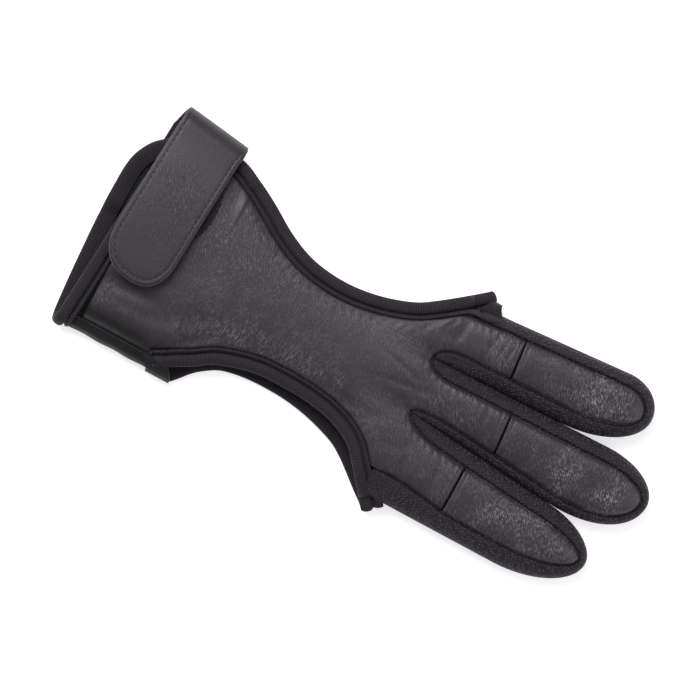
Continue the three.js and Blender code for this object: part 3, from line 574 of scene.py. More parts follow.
def meshMaterial(name, dark, light):
    # Warp-knitted polyester mesh: round knots 0.9 mm apart, dry and matt, with the holes between them painted
    # dark as shade.
    material, tree, shader = newMaterial(name, {"IOR": 1.5, "Roughness": 0.7, "Specular IOR Level": 0.3,
                                                "Sheen Weight": 0.04, "Sheen Tint": linear("b9a6c4")})
    surface = addNode(tree, "UVMap", {"uv_map": "surface"})
    slant = addNode(tree, "Mapping", {"in:Rotation": (0, 0, math.radians(38))}, Vector=surface.outputs[0])
    knots = addNode(tree, "TexVoronoi", {"in:Scale": 1 / 0.9, "in:Randomness": 0.62},
                    Vector=slant.outputs[0])
    yarn = addNode(tree, "TexNoise", {"in:Scale": 1 / 0.5, "in:Detail": 2.0}, Vector=surface.outputs[0])
    knot = addNode(tree, "MapRange", {"in:From Min": 0.12, "in:From Max": 0.56, "in:To Min": 1.0,
                                      "in:To Max": 0.0}, Value=knots.outputs["Distance"])
    uneven = addNode(tree, "MapRange", {"in:From Min": 0.35, "in:From Max": 0.65, "in:To Min": 0.3,
                                        "in:To Max": 1.0}, Value=yarn.outputs[0])
    tone = addNode(tree, "Math", {"operation": "MULTIPLY", "use_clamp": True}, _0=knot.outputs[0],
                   _1=uneven.outputs[0])
    # the knots take the yarn's colour, and the holes between them are painted shade
    colour = addNode(tree, "Mix", {"data_type": "RGBA", "in:6": linear(dark), "in:7": linear(light)},
                     _0=tone.outputs[0])
    tree.links.new(colour.outputs[2], shader.inputs["Base Color"])
    relief = addNode(tree, "Bump", {"in:Strength": 1.0, "in:Distance": 0.0006}, Height=knot.outputs[0])
    fuzz = addNode(tree, "Bump", {"in:Strength": 0.6, "in:Distance": 0.0002}, Height=yarn.outputs[0],
                   Normal=relief.outputs[0])
    tree.links.new(fuzz.outputs[0], shader.inputs["Normal"])
    return material


def ribbedMaterial(name, dark, light, pitch):
    # Grosgrain tape of spun polyester: close ribs straight across it, matt with a slightly violet cast.
    material, tree, shader = newMaterial(name, {"IOR": 1.5, "Roughness": 0.78, "Specular IOR Level": 0.3,
                                                "Sheen Weight": 0.05})
    surface = addNode(tree, "UVMap", {"uv_map": "surface"})
    ribs = addNode(tree, "TexWave", {"wave_type": "BANDS", "bands_direction": "X", "wave_profile": "SIN",
                                     "in:Scale": math.pi / 10 / pitch, "in:Distortion": 0.7,
                                     "in:Detail": 2.0, "in:Detail Scale": 1.6}, Vector=surface.outputs[0])
    yarn = addNode(tree, "TexNoise", {"in:Scale": 1 / 0.5, "in:Detail": 2.0}, Vector=surface.outputs[0])
    # painted shade: the colour is darker in the grooves between the ribs, and mottled by the yarn
    both = addNode(tree, "Math", {"operation": "MULTIPLY"}, _0=ribs.outputs[1], _1=yarn.outputs[0])
    colour = addNode(tree, "Mix", {"data_type": "RGBA", "in:6": linear(dark), "in:7": linear(light)},
                     _0=both.outputs[0])
    tree.links.new(colour.outputs[2], shader.inputs["Base Color"])
    relief = addNode(tree, "Bump", {"in:Strength": 0.7, "in:Distance": 0.00008}, Height=ribs.outputs[1])
    fuzz = addNode(tree, "Bump", {"in:Strength": 0.8, "in:Distance": 0.00018}, Height=yarn.outputs[0],
                   Normal=relief.outputs[0])
    tree.links.new(fuzz.outputs[0], shader.inputs["Normal"])
    return material


def knitMaterial(name, dark, light):
    # Brushed nylon-elastane jersey: very fine, soft and matt, so only a faint mottle shows.
    material, tree, shader = newMaterial(name, {"IOR": 1.5, "Roughness": 0.88, "Specular IOR Level": 0.25,
                                                "Sheen Weight": 0.2})
    where = addNode(tree, "TexCoord")
    inMm = addNode(tree, "Mapping", {"in:Scale": (1000, 1000, 1000)}, Vector=where.outputs["Object"])
    loops = addNode(tree, "TexNoise", {"in:Scale": 1 / 0.7, "in:Detail": 2.0}, Vector=inMm.outputs[0])
    colour = addNode(tree, "Mix", {"data_type": "RGBA", "in:6": linear(dark), "in:7": linear(light)},
                     _0=loops.outputs[0])
    tree.links.new(colour.outputs[2], shader.inputs["Base Color"])
    relief = addNode(tree, "Bump", {"in:Strength": 0.6, "in:Distance": 0.00015}, Height=loops.outputs[0])
    tree.links.new(relief.outputs[0], shader.inputs["Normal"])
    return material


# colours of the film and of the painted highlight on its wrinkles, then the wrinkles' depth and length in mm
palmLeather = leatherMaterial("dyed sheepskin", "231d24", "2b252d", "685f68", roughness=0.43, fold=0.27,
                              longest=1.75)
tipLeather = leatherMaterial("dyed sheepskin patch", "251f26", "2d262e", "8a8089", roughness=0.41, fold=0.22,
                             longest=1.15)
strapLeather = leatherMaterial("dyed sheepskin strap", "1b161c", "201a21", "585059", roughness=0.49,
                               fold=0.26, longest=2.1)
stallMesh = meshMaterial("warp-knitted mesh", "19151b", "4f4556")
tapeRib = 0.85  # mm from rib to rib
tapeFinish = ribbedMaterial("grosgrain tape", "0b080d", "362e39", tapeRib)
# the same tape painted darker for the folded ends: painted shade against the key light that their tops face
shadedTabFinish = ribbedMaterial("grosgrain tape folded end in painted shade", "050406", "130e15", 0.9)
jersey = knitMaterial("brushed jersey", "070709", "0e0d10")
rawEdge = knitMaterial("strap backing felt", "3c383e", "68636a")
pile = knitMaterial("fastener pile", "0d0a0f", "241e26")
thread = knitMaterial("bonded nylon thread", "17141a", "322d35")
darkThread = knitMaterial("bonded nylon thread in leather", "060506", "100e11")

# Camera and studio

# the photo's width and middle in metres, the camera's height over that, its turn in degrees and sensor in mm
view = {"width": 0.2345, "centre": (-0.0084, -0.0003, 0.008), "distance": 1.3, "turn": 28.5, "sensor": 36}
# each lamp's place in metres, towards the photo's top, towards its left and up, then its size and watts
lamps = [("key", 0.85, 0.35, 0.95, 0.9, 15), ("overhead", 0.7, 0.25, 1.4, 0.8, 6.0),
         ("fill", -0.45, -0.85, 0.7, 0.8, 3.4)]
roomLight = 0.36


def makeStudio():
    camera = bpy.data.cameras.new("camera")
    camera.sensor_width = view["sensor"]
    camera.lens = view["sensor"] * view["distance"] / view["width"]
    camera.clip_end = 20
    holder = bpy.data.objects.new("camera", camera)
    bpy.context.scene.collection.objects.link(holder)
    x, y, z = view["centre"]
    holder.location = (x, y, z + view["distance"])
    holder.rotation_euler = (0, 0, math.radians(view["turn"]))
    bpy.context.scene.camera = holder

    bpy.ops.mesh.primitive_plane_add(size=6, location=(0, 0, -0.0003))
    floor = bpy.context.object
    floor.name = "floor"
    # Matt white acrylic sheet, lit through from below as on a light table, so that hardly a shade shows.
    white = newMaterial("matt white acrylic", {"Roughness": 0.95, "Specular IOR Level": 0.0,
                                               "Base Color": (0.9, 0.9, 0.9, 1),
                                               "Emission Color": (1, 1, 1, 1), "Emission Strength": 0.55})
    floor.data.materials.append(white[0])
    floor.select_set(False)

    up = math.radians(view["turn"])
    top = Vector((-math.sin(up), math.cos(up), 0))
    left = Vector((-math.cos(up), -math.sin(up), 0))
    for name, toTop, toLeft, height, size, power in lamps:
        spot = top * toTop + left * toLeft + Vector((0, 0, height))
        light = bpy.data.lights.new(name, "AREA")
        light.size = size
        light.energy = power
        lamp = bpy.data.objects.new(name, light)
        bpy.context.scene.collection.objects.link(lamp)
        lamp.location = spot
        lamp.rotation_euler = (-spot).to_track_quat("-Z", "Y").to_euler()
    world = bpy.data.worlds.new("studio")
    world.use_nodes = True
    world.node_tree.nodes["Background"].inputs[0].default_value = (1, 1, 1, 1)
    world.node_tree.nodes["Background"].inputs[1].default_value = roomLight
    bpy.context.scene.world = world
    bpy.context.scene.view_settings.view_transform = "Standard"


makeStudio()
print("the camera and the studio are set")

# Palm leather and the three strips that run on to the stalls

# the leather runs to just inside the tape's sewn edge, and turns from the wrist to the slit at a corner
panel = {"inset": 2.8, "corner": (10.5, 26), "columns": 330, "rows": (46, 38, 42),
         # the share of the columns that is on the palm, and of the rest the share that lies closer at the leaf
         "onPalm": 0.68, "atLeaf": 0.35, "closer": 1.8,
         # where the lines between the strips end at the wrist as shares across, and how soon they get there
         "fans": (0.36, 0.67), "fanRate": 1.6,
         # the ring finger's outer border is broader towards the palm: by how much, from where and how long
         "broader": 3, "broaderFrom": 126, "broaderOver": 32}
aside = 60  # farther across than any edge

# Rises and dips beside an edge, which edgeProfile adds up: distance from it, half width and rise in mm
besideSeam = [(0, 0.75, -0.95), (0, 2.2, -0.35)]
besideTape = [(0, 0.7, -0.8), (0, 2.4, -0.06)]
besideCross = [(0, 0.36, -0.7), (0, 1.6, -0.12), (1.45, 0.28, -0.14), (2.0, 0.35, 0.12)]
patchCross = [(0.35, 0.35, 0.28), (1.3, 0.3, -0.2)]
# the welt along the cuff's side seam, and the puckers beside the tape and beside the seams
welt = {"rise": 0.32, "at": 1.3, "wide": 0.6, "from": 10, "to": 36, "fadeIn": 5, "fadeOut": 9}
puckers = {"deep": 0.06, "tapeAt": 2.4, "tapeWide": 2.2, "seamAt": 1.8, "seamWide": 1.4}
# the ring finger's seam begins softly at the tape: where it is full, over how long, and how much it lacks
softStart = {"full": 127, "over": 5, "lacks": 0.8, "side": -24}


def edgeProfile(distance, rows):
    return sum(rise * bell(distance - at, width) for at, width, rise in rows)


def nearestTo(line, spot):
    return int(np.argmin(np.hypot(line[:, 0] - spot[0], line[:, 1] - spot[1])))


def singleValued(line):
    # only the points that lie farther along than all before them
    keep = [0]
    for i in range(1, len(line)):
        if line[i, 0] > line[keep[-1], 0]:
            keep.append(i)
    return line[keep]


lowEdge = singleValued(sewnEdge("thumbFront", panel["inset"]))
outerEdge = sewnEdge("outerFront", panel["inset"])
corner = nearestTo(outerEdge, panel["corner"])
wristX = float(np.interp(0, outerEdge[:corner, 1], outerEdge[:corner, 0]))
highEdge = singleValued(outerEdge[corner:])


def seamInsets(number, x):
    # mesh border on each side of a strip: nothing at the leaf between two stalls, then its full width
    stall = stalls[number]
    opens = []
    for start, rounded in leaves:
        t = np.clip((x - start) / rounded, 0, 1)
        opens.append(np.sqrt(1 - (1 - t) ** 2))
    low = ringBorder(x) if number == 0 else stall["low"] * opens[number - 1]
    high = stall["high"] * (1 if number == 2 else opens[number])
    return low + halfGap, high + halfGap


def ringBorder(x):
    return stalls[0]["low"] + panel["broader"] * (1 - ease((x - panel["broaderFrom"]) / panel["broaderOver"]))


def palmLow(x):
    seam = lineBetween(0, x) + ringBorder(x) + halfGap
    seam = np.where(x < palm["cuffEnd"], palm["sideSeam"], seam)
    return np.maximum(seam, np.interp(x, lowEdge[:, 0], lowEdge[:, 1], left=-aside, right=-aside))


def palmHigh(x):
    seam = lineBetween(3, x) - stalls[2]["high"] - halfGap
    seam = np.where(x < palm["cuffEnd"], aside, seam)
    return np.minimum(seam, np.interp(x, highEdge[:, 0], highEdge[:, 1], left=highEdge[0, 1], right=aside))


def stripShape(number):
    stall = stalls[number]
    start, leaf = wristX, palm["leafStart"]
    seam = palm["length"] + stall["crossSeam"] - halfGap
    split, near = panel["onPalm"], panel["atLeaf"]

    def shape(u, v):
        f = np.clip((u - split) / (1 - split), 0, 1)
        grown = np.where(f < near, near * (f / near) ** panel["closer"], f)
        x = np.where(u < split, start + (leaf - start) * u / split, leaf + (seam - leaf) * grown)
        low, high = seamInsets(number, x)
        lowY = lineBetween(number, x) + low - halfGap
        highY = lineBetween(number + 1, x) - high + halfGap
        # the lines between the strips fan out evenly towards the wrist
        toWrist = ease(np.clip((leaf - x) / (leaf - start), 0, 1) * panel["fanRate"])
        lows, highs = palmLow(x), palmHigh(x)
        bounds = [lows]
        for k, share in enumerate(panel["fans"]):
            bounds.append(mix(lineBetween(k + 1, leaf), mix(lows, highs, share), toWrist))
        bounds.append(highs)
        lowY = np.where(x < leaf, bounds[number], np.maximum(lowY, lows))
        highY = np.where(x < leaf, bounds[number + 1], np.minimum(highY, highs))
        y = mix(lowY, highY, v)
        x = x + f * stall["slant"] * (v - 0.5) * (highY - lowY)
        return place(x, y, 0), np.stack([x, y], axis=1)

    return shape


def stripSeams(number):
    # the lines that a strip's leather rolls down at: low side, high side and across
    stall = stalls[number]
    seam = palm["length"] + stall["crossSeam"] - halfGap

    def stationsFrom(start):
        # closer together where the leaf is round
        close = start + np.array([0, 0.05, 0.2, 0.5, 1, 1.8, 3, 4.6, 6.5])
        return np.concatenate([close, np.arange(start + 9, seam + 1.5, 1.5)])

    x = stationsFrom(palm["leafStart"] if number == 0 else leaves[number - 1][0])
    lowLine = np.stack([x, lineBetween(number, x) + seamInsets(number, x)[0] - halfGap], axis=1)
    x = stationsFrom(palm["leafStart"] if number == 2 else leaves[number][0])
    highLine = np.stack([x, lineBetween(number + 1, x) - seamInsets(number, x)[1] + halfGap], axis=1)
    half = (highLine[-1, 1] - lowLine[-1, 1]) / 2
    slope = stall["slant"] * half
    return lowLine, highLine, np.array([[seam - slope, lowLine[-1, 1]], [seam + slope, highLine[-1, 1]]])


# Painted shade on the palm leather: darker beside the side seam, where the leather slopes away from the light,
# under the strap's end, where its shadow falls, and along the tape. The amounts, then the places and half
# widths
paintedShadePlaces = {"side": 0.95, "strap": 0.8, "tape": 0.5, "sideAt": -31.2, "sideWide": 2.4, "sideTo": 40,
              "sideFade": 8, "strapAt": (21, -16.6), "strapWide": (9, 1.9), "tapeWide": 2.2}


# how much painted shade darkens the palm leather at each point
def palmPaintedShade(x, y, toTape):
    amount = paintedShadePlaces["side"] * bell(y - paintedShadePlaces["sideAt"], paintedShadePlaces["sideWide"])
    amount = amount * ease((paintedShadePlaces["sideTo"] - x) / paintedShadePlaces["sideFade"])
    onLength = bell(x - paintedShadePlaces["strapAt"][0], paintedShadePlaces["strapWide"][0])
    amount += paintedShadePlaces["strap"] * onLength * bell(y - paintedShadePlaces["strapAt"][1], paintedShadePlaces["strapWide"][1])
    return np.clip(amount + paintedShadePlaces["tape"] * bell(toTape, paintedShadePlaces["tapeWide"]), 0, 1)


def buildPalm():
    strips = [makeSheet(f"strip {k}", panel["columns"], panel["rows"][k], stripShape(k)) for k in range(3)]
    piece = joinPieces(strips, "palm_leather_panel")
    weld(0.00002)
    x, y = planOf(piece)
    seams = [np.array([[wristX, palm["sideSeam"]], [45, palm["sideSeam"]]])]
    crossLines = []
    for k in range(3):
        lowLine, highLine, across = stripSeams(k)
        seams += [lowLine, highLine]
        crossLines.append(across)
    toSeam = toEdge(x, y, seams)
    toCross = toEdge(x, y, crossLines)
    toTape = toEdge(x, y, [lowEdge[::6], highEdge[::6], outerEdge[:corner:8]])
    z = leatherTop(x, y) - foldDepth(x, y, creases)
    waves = np.sin(x * 1.9 + np.sin(y * 0.7) * 1.5) * bell(toTape - puckers["tapeAt"], puckers["tapeWide"])
    waves += np.sin(x * 2.3 + y * 0.8) * bell(toSeam - puckers["seamAt"], puckers["seamWide"])
    z += puckers["deep"] * waves
    nearStart = (y < softStart["side"]) & (x > palm["cuffEnd"])
    drawn = 1 - softStart["lacks"] * ease((softStart["full"] - x) / softStart["over"]) * nearStart
    z += drawn * edgeProfile(toSeam, besideSeam) + edgeProfile(toTape, besideTape)
    z += edgeProfile(toCross, besideCross)
    shown = ease((welt["to"] - x) / welt["fadeOut"]) * ease((x - welt["from"]) / welt["fadeIn"])
    z += welt["rise"] * bell(y - palm["sideSeam"] - welt["at"], welt["wide"]) * shown
    movePoints(piece, x, y, z)
    paintAttribute(piece, "grain", grainAmount(x, y))
    paintAttribute(piece, "lie", grainLie(x, y))
    # the mask of the painted shade
    paintAttribute(piece, "dark", palmPaintedShade(x, y, toTape))
    thicken(piece, palm["leather"])
    return finishPiece(piece, palmLeather, "palm_leather", "palm_leather", smooth=60)


buildPalm()
print("the palm leather is made")

# Leather patches on the fingertips

# "closer" and "outlineCloser" draw the rows, and the outline's points, together towards the round tip
patch = {"wall": 1.5, "gap": 0.2, "raised": 0.15, "columns": 170, "rows": 46, "closer": 1.5,
         "outlineCloser": 1.9}


def buildTip(number):
    stall = stalls[number]
    seam = palm["length"] + stall["crossSeam"] + patch["gap"]
    tip = tipOf(number) - stall["tip"]
    insets = (stall["low"] + halfGap, stall["high"] + halfGap, stall["tip"])

    def shape(u, v):
        x = seam + (tip - seam) * (1 - (1 - u) ** patch["closer"])
        low, high = stallSpan(number, x, *insets)
        y = mix(low, high, v)
        x = x + (1 - u) ** 2 * stall["slant"] * (v - 0.5) * (high - low)
        return place(x, y, 0), np.stack([x, y], axis=1)

    piece = makeSheet(f"{stall['name']}_tip_patch", patch["columns"], patch["rows"], shape)
    x, y = planOf(piece)
    along = seam + (tip - seam) * (1 - (1 - np.linspace(0, 1, 90)) ** patch["outlineCloser"])
    low, high = stallSpan(number, along, *insets)
    toSeam = toEdge(x, y, [np.stack([along, low], axis=1), np.stack([along, high], axis=1)])
    slope = stall["slant"] * (high[0] - low[0]) / 2
    toCross = toEdge(x, y, [np.array([[seam - slope, low[0]], [seam + slope, high[0]]])])
    z = stallTop(number, x, y) - foldDepth(x, y, creases) + patch["raised"]
    z += edgeProfile(toSeam, besideSeam) + edgeProfile(toCross, patchCross)
    movePoints(piece, x, y, z)
    paintAttribute(piece, "grain", grainAmount(x, y))
    thicken(piece, patch["wall"])
    return finishPiece(piece, tipLeather, "tip_leather", f"{stall['name']}_tip_leather", smooth=60)


for number in range(3):
    buildTip(number)
print("the fingertip patches are made")

# Stitches of the cross seams, a row on each side of the seam between the palm and a fingertip patch

crossRow = {"margin": 1.3, "spacing": 1.9, "sunk": 0.2, "stitch": (1.25, 0.32, 0.3)}


def sewCrossSeam(number):
    stall = stalls[number]
    seam = palm["length"] + stall["crossSeam"]
    low = lineBetween(number, seam) + stall["low"] + crossRow["margin"]
    high = lineBetween(number + 1, seam) - stall["high"] - crossRow["margin"]
    y = np.arange(low, high, crossRow["spacing"])
    tipNode = stall["name"] + "_tip_leather"
    for side, node, offset in (("palm", "palm_leather", -1.85), ("tip", tipNode, 1.7)):
        x = seam + offset + stall["slant"] * (y - (low + high) / 2)
        spots = np.column_stack([x, y, leatherTop(x, y) - foldDepth(x, y, creases) - crossRow["sunk"]])
        along = np.tile([stall["slant"], 1, 0], (len(y), 1))
        up = np.tile([0, 0, 1.0], (len(y), 1))
        sewStitches(f"{stall['name']}_{side}_seam_stitches", spots, along, up, crossRow["stitch"], darkThread,
                    side + "_leather", node)


# Knitted stalls: one sheet for each, from the leather's seam over the side and under to the middle

knit = {
    "wall": 1.0, "columns": 300, "rows": 72,
    "turn": 13, "tipLength": 26,  # rays fan out this far from the tip, over this much of the sheet's length
    "closer": 1.25,  # the rows lie closer towards the leaf
    "full": 1.6,  # the width at which the border has its whole groove
    "puff": 0.25, "ripple": 0.06,
    "newPattern": 8,  # the pattern starts anew under the shoulder, this far on
    # tucked edge and groove: share of the way to the shoulder, distance from the seam and rise in mm
    "groove": [(0, -0.5, -1.9), (0.1, 0.1, -1.5), (0.17, 0.35, -0.75), (0.25, 0.75, -0.2), (0.33, 1.25, 0.0)],
}


def alongRay(number, x0, y0, dx, dy, insets):
    # how far along a ray a stall's outline lies
    near, far = np.zeros(np.shape(x0)), np.full(np.shape(x0), 40.0)
    for _ in range(34):  # halvings, down to nothing
        half = (near + far) / 2
        outside = outlineShare(number, x0 + dx * half, y0 + dy * half, *insets) > 1
        near, far = np.where(outside, near, half), np.where(outside, half, far)
    return (near + far) / 2


def stallShape(number):
    stall = stalls[number]
    tip = tipOf(number)
    start = palm["leafStart"]
    turnX = tip - knit["turn"]
    sideLength, tipLength = turnX - start, knit["tipLength"]
    total = 2 * sideLength + tipLength
    groove = np.array(knit["groove"])
    grooveEnd, grooveWidth = groove[-1, :2]

    def shape(u, v):
        s = u * total
        onLow, onHigh = s < sideLength, s > sideLength + tipLength
        fan = mix(-math.pi / 2, math.pi / 2, np.clip((s - sideLength) / tipLength, 0, 1))
        angle = np.where(onLow, -math.pi / 2, np.where(onHigh, math.pi / 2, fan))
        f = (np.where(onLow, s, np.where(onHigh, total - s, sideLength)) / sideLength) ** knit["closer"]
        starts = np.where(s < total / 2, *stall["starts"])
        rayX = starts + f * (turnX - starts)
        # below the shoulder the stall begins at the back panel's seam
        below = ease((v - 0.45) / 0.12)
        rayX = rayX + below * (1 - f) ** 2 * np.maximum(palm["length"] - starts, 0)
        rayY = ridgeAt(number, rayX)
        dx, dy = np.cos(angle), np.sin(angle)
        dx = np.where(onLow | onHigh, 0, dx)
        low, high = seamInsets(number, np.where(onLow | onHigh, rayX, turnX))
        outer = alongRay(number, rayX, rayY, dx, dy, (0.0, 0.0, 0.0))
        inner = alongRay(number, rayX, rayY, dx, dy, (low, high, stall["tip"]))
        reach = np.maximum(outer - inner, 0)
        # profile: tucked edge, groove, over the side, then under to the middle
        top = np.clip(v / 0.5, 0, 1)
        inGroove = top < grooveEnd
        away = np.interp(top, groove[:, 0], groove[:, 1])
        drop = np.interp(top, groove[:, 0], groove[:, 2])
        rest = np.clip((top - grooveEnd) / (1 - grooveEnd), 0, 1)
        bend = np.sin(rest * math.pi / 2)
        shown = np.clip(reach / knit["full"], 0, 1)  # no groove where the leaf begins
        distance = inner + np.where(inGroove, away * shown, mix(grooveWidth * shown, reach, bend))
        under = np.clip((v - 0.5) / 0.5, 0, 1)
        distance = np.where(v > 0.5, outer * (1 - under ** 1.5), distance)
        x, y = rayX + dx * distance, rayY + dy * distance
        z = stallTop(number, x, y) + np.where(inGroove, drop * np.maximum(shown, 0.6), 0)
        z = np.where(v > 0.5, stallBottom(number, x, y), z)
        lowSide, highSide = stallHeights(number, x)[1:]
        z = np.where(np.abs(v - 0.5) < 1e-6, np.where(angle < 0, lowSide, highSide), z)
        z = z - np.where(v <= 0.5, foldDepth(x, y, leafFolds), 0)
        puff = knit["puff"] * bell(top - 0.62, 0.2) * shown
        ripple = knit["ripple"] * np.sin(s * 1.3 + y) * (top > 0.3)
        z = z + np.where(v <= 0.5, puff + ripple, 0)
        across = np.where(v > 0.5, reach + under * outer + knit["newPattern"], distance - inner)
        return place(x, y, z), np.stack([s, across], axis=1)

    return shape


def buildStall(number):
    name = stalls[number]["name"]
    piece = makeSheet(f"{name}_stall_knit", knit["columns"], knit["rows"], stallShape(number), flip=True)
    thicken(piece, knit["wall"])
    return finishPiece(piece, stallMesh, "stall_mesh", f"{name}_stall_mesh", smooth=60)


for number in range(3):
    buildStall(number)
    sewCrossSeam(number)
print("the knitted stalls are made")

# Fabric back with the folded side of the cuff, which lies over the strap's sewn end

# the closure strap: the fold lies across from the hand's centre line, root is how far under the cuff its layer
# goes from there, along is its middle at the fold, and reach is from the fold's foot to the round end
strap = {
    "width": 24.4, "wall": 1.6, "root": 36, "fold": 43.65, "slope": 0.133, "along": 21.9, "lean": 0.055,
    "rootShift": -2.3, "tilt": 0.12, "round": 13.2, "stack": 2.9, "reach": 71.2, "rim": 0.3, "seam": 1.5,
    "rootHidden": 8,  # the sewn end stops this far before the root
    "settles": 9,  # length over which it comes down from the fold on to the palm
    "change": 8.5,  # the felt backing begins here and the webbing ends
    "leather": 0.7, "backing": 0.85, "leatherLift": 0.8, "backingLift": 0.1,
    # the round end is an oval with these powers, on the last share of the columns, and its edge rolls down
    "acrossPower": 2.5, "alongPower": 2.1, "straightShare": 0.78, "roll": 0.2, "rollWidth": 0.22,
    # the seam's groove, and how much the layers stand up inside it
    "groove": 0.07, "grooveWidth": 0.4, "stands": 0.04, "standsOver": 1.5,
    "stitchSpacing": 1.05, "stitch": (1.1, 0.34, 0.24), "stitchLift": 0.72,
    # wrinkles: centre, half widths and amount, how many there are everywhere, and where they fade out
    "wrinkles": [(21, 19, 8, 7, 0.9), (23, 6, 8, 9, 0.4)], "everywhere": 0.05, "plainFrom": 34, "plainOver": 8,
}
back = {"wall": 1.1, "strapLift": 1.9, "strapMargin": 1.5, "strapSlope": 6, "inset": 1.5, "corner": (8, 24),
        "undertuck": 2, "gap": 0.3, "columns": 130, "rows": 66}
# the cuff's side: where it begins, how long it is, how far below the leather's top and how far out it bulges,
# how far its ends are tucked in, its waves, the soft fold beside the seam, and the length of cloth round it
cuff = {"from": 8.6, "length": 33.2, "drop": 1.5, "bulge": 4.0, "tuck": 0.3, "wave": 0.12, "waveRate": 0.55,
        "fold": 0.22, "foldAt": 0.2, "foldWide": 0.05, "girth": 14, "columns": 80, "rows": 36}
backLow = singleValued(sewnEdge("thumbBack", back["inset"]))
backOuter = sewnEdge("outerBack", back["inset"])
backCorner = nearestTo(backOuter, back["corner"])
backHigh = singleValued(backOuter[backCorner:])
backWrist = backOuter[:backCorner]
backWrist = backWrist[np.argsort(backWrist[:, 1])]
backStart = float(np.max(backWrist[backWrist[:, 1] < 20, 0]))


def strapMiddle(y):
    return strap["along"] - strap["lean"] * (strap["fold"] - y)


def backFloor(x, y):
    # the fabric rises over the strap's sewn end
    aSide = np.abs(x - strapMiddle(y) - strap["rootShift"]) - strap["width"] / 2
    past = np.maximum(aSide, strap["fold"] - strap["root"] - y) - back["strapMargin"]
    return back["strapLift"] * (1 - ease(past / back["strapSlope"]))


def backShape(u, v):
    x = backStart + (palm["length"] - back["gap"] - backStart) * u
    onCuff = x < palm["cuffEnd"]
    low = np.where(onCuff, palm["sideSeam"], lineBetween(0, x) + back["undertuck"])
    low = np.maximum(low, np.interp(x, backLow[:, 0], backLow[:, 1], left=-aside, right=-aside))
    high = np.where(onCuff, aside, lineBetween(3, x) - back["undertuck"])
    high = np.minimum(high, np.interp(x, backHigh[:, 0], backHigh[:, 1], left=backHigh[0, 1], right=aside))
    y = mix(low, high, v)
    x = np.where(u < 0.0001, np.interp(y, backWrist[:, 1], backWrist[:, 0]), x)
    return place(x, y, backFloor(x, y) + back["wall"]), np.stack([x, y], axis=1)


def cuffShape(u, v):
    x = cuff["from"] + cuff["length"] * u
    top = leatherTop(x, np.full(np.shape(x), palm["sideSeam"])) - cuff["drop"]
    angle = math.pi * v
    y = palm["sideSeam"] + cuff["tuck"] * np.cos(angle) ** 2 - cuff["bulge"] * np.sin(angle) ** 0.8
    y = y + cuff["wave"] * np.sin(x * cuff["waveRate"]) * np.sin(angle)
    y = y - cuff["fold"] * bell(v - cuff["foldAt"], cuff["foldWide"])
    z = top / 2 + top / 2 * np.cos(angle)
    return place(x, y, z), np.stack([x, v * cuff["girth"]], axis=1)


def buildBack():
    fabric = makeSheet("back panel", back["columns"], back["rows"], backShape)
    thicken(fabric, back["wall"])
    side = makeSheet("cuff side", cuff["columns"], cuff["rows"], cuffShape, flip=True)
    thicken(side, back["wall"])
    piece = joinPieces([fabric, side], "jersey_back")
    return finishPiece(piece, jersey, "stretch_fabric", "back_panel")


buildBack()
print("the fabric back is made")

# Bound tape: one closed loop for each opening, from the palm side down and along the back

tape = {
    "thick": 2.6, "floor": 0.1, "lowest": 0.05, "extra": 0.45, "plain": 0, "girth": 14,
    "station": 0.5, "smoothing": 1.1,
    "sunk": 0.75,  # the roll's middle below the leather's top
    # the strap presses the roll down where it crosses: how deep, where across, how far and up to where along
    "pressed": 1.1, "pressedAt": 10, "pressedOver": 13, "pressedTo": 20,
    # stitches over the narrow bead: spacing, size, place across and up, and the way they slant
    "spacing": 1.15, "stitch": (1.05, 0.34, 0.2), "stitchAcross": -2.25, "stitchRise": 0.5,
    "stitchMoves": 0.85, "slantAlong": 0.75, "slantAcross": 0.66,
}
# a section from the leather's edge to the roll: across and up in mm, and how far the point moves out where
# the allowance beside the leather widens
tapeProfile = [(-2.75, -0.6, 1), (-2.8, 0.05, 1), (-2.62, 0.38, 1), (-2.3, 0.5, 0.9), (-1.95, 0.46, 0.45),
               (-1.76, 0.2, 0.2), (-1.62, -0.2, 0.08), (-1.45, 0.0, 0), (-1.25, 0.75, 0), (-0.8, 1.12, 0),
               (-0.1, 1.3, 0), (0.7, 1.3, 0), (1.5, 1.15, 0), (2.2, 0.8, 0), (2.62, 0.35, 0), (2.75, -0.1, 0),
               (2.55, -0.7, 0), (2.0, -1.1, 0), (1.0, -1.25, 0), (-0.5, -1.1, 0), (-1.8, -0.9, 0.5)]
# the rise of the same points where the tape is only folded flat over the side
plainRise = [-0.6, 0.1, 0.6, 0.8, 0.86, 0.88, 0.88, 0.88, 0.9, 0.92, 0.92, 0.92, 0.88, 0.75, 0.35, -0.1,
             -0.5, -0.6, -0.6, -0.6, -0.6]
# how each end turns down to the back: bulge along x and y, how low it bulges, the way its width points, the
# wider allowance there and over how long a stretch that grows
turns = {
    "thumbNear": {"x": 0.3, "y": -0.5, "late": 1, "out": (1, 0.05), "extra": 0, "over": 5, "plain": 0},
    "thumbFar": {"x": 0.5, "y": -0.5, "late": 1.2, "out": (-0.8, -0.6), "extra": 1.9, "over": 16,
                 "plain": 0.2},
    "outerNear": {"x": 0, "y": -3.2, "late": 1, "out": (-1, 0), "extra": 0, "over": 5, "plain": 0},
    "outerFar": {"x": 0.6, "y": 1.0, "late": 1.2, "out": (-0.7, 0.7), "extra": 5.6, "over": 11, "plain": 0.3},
}


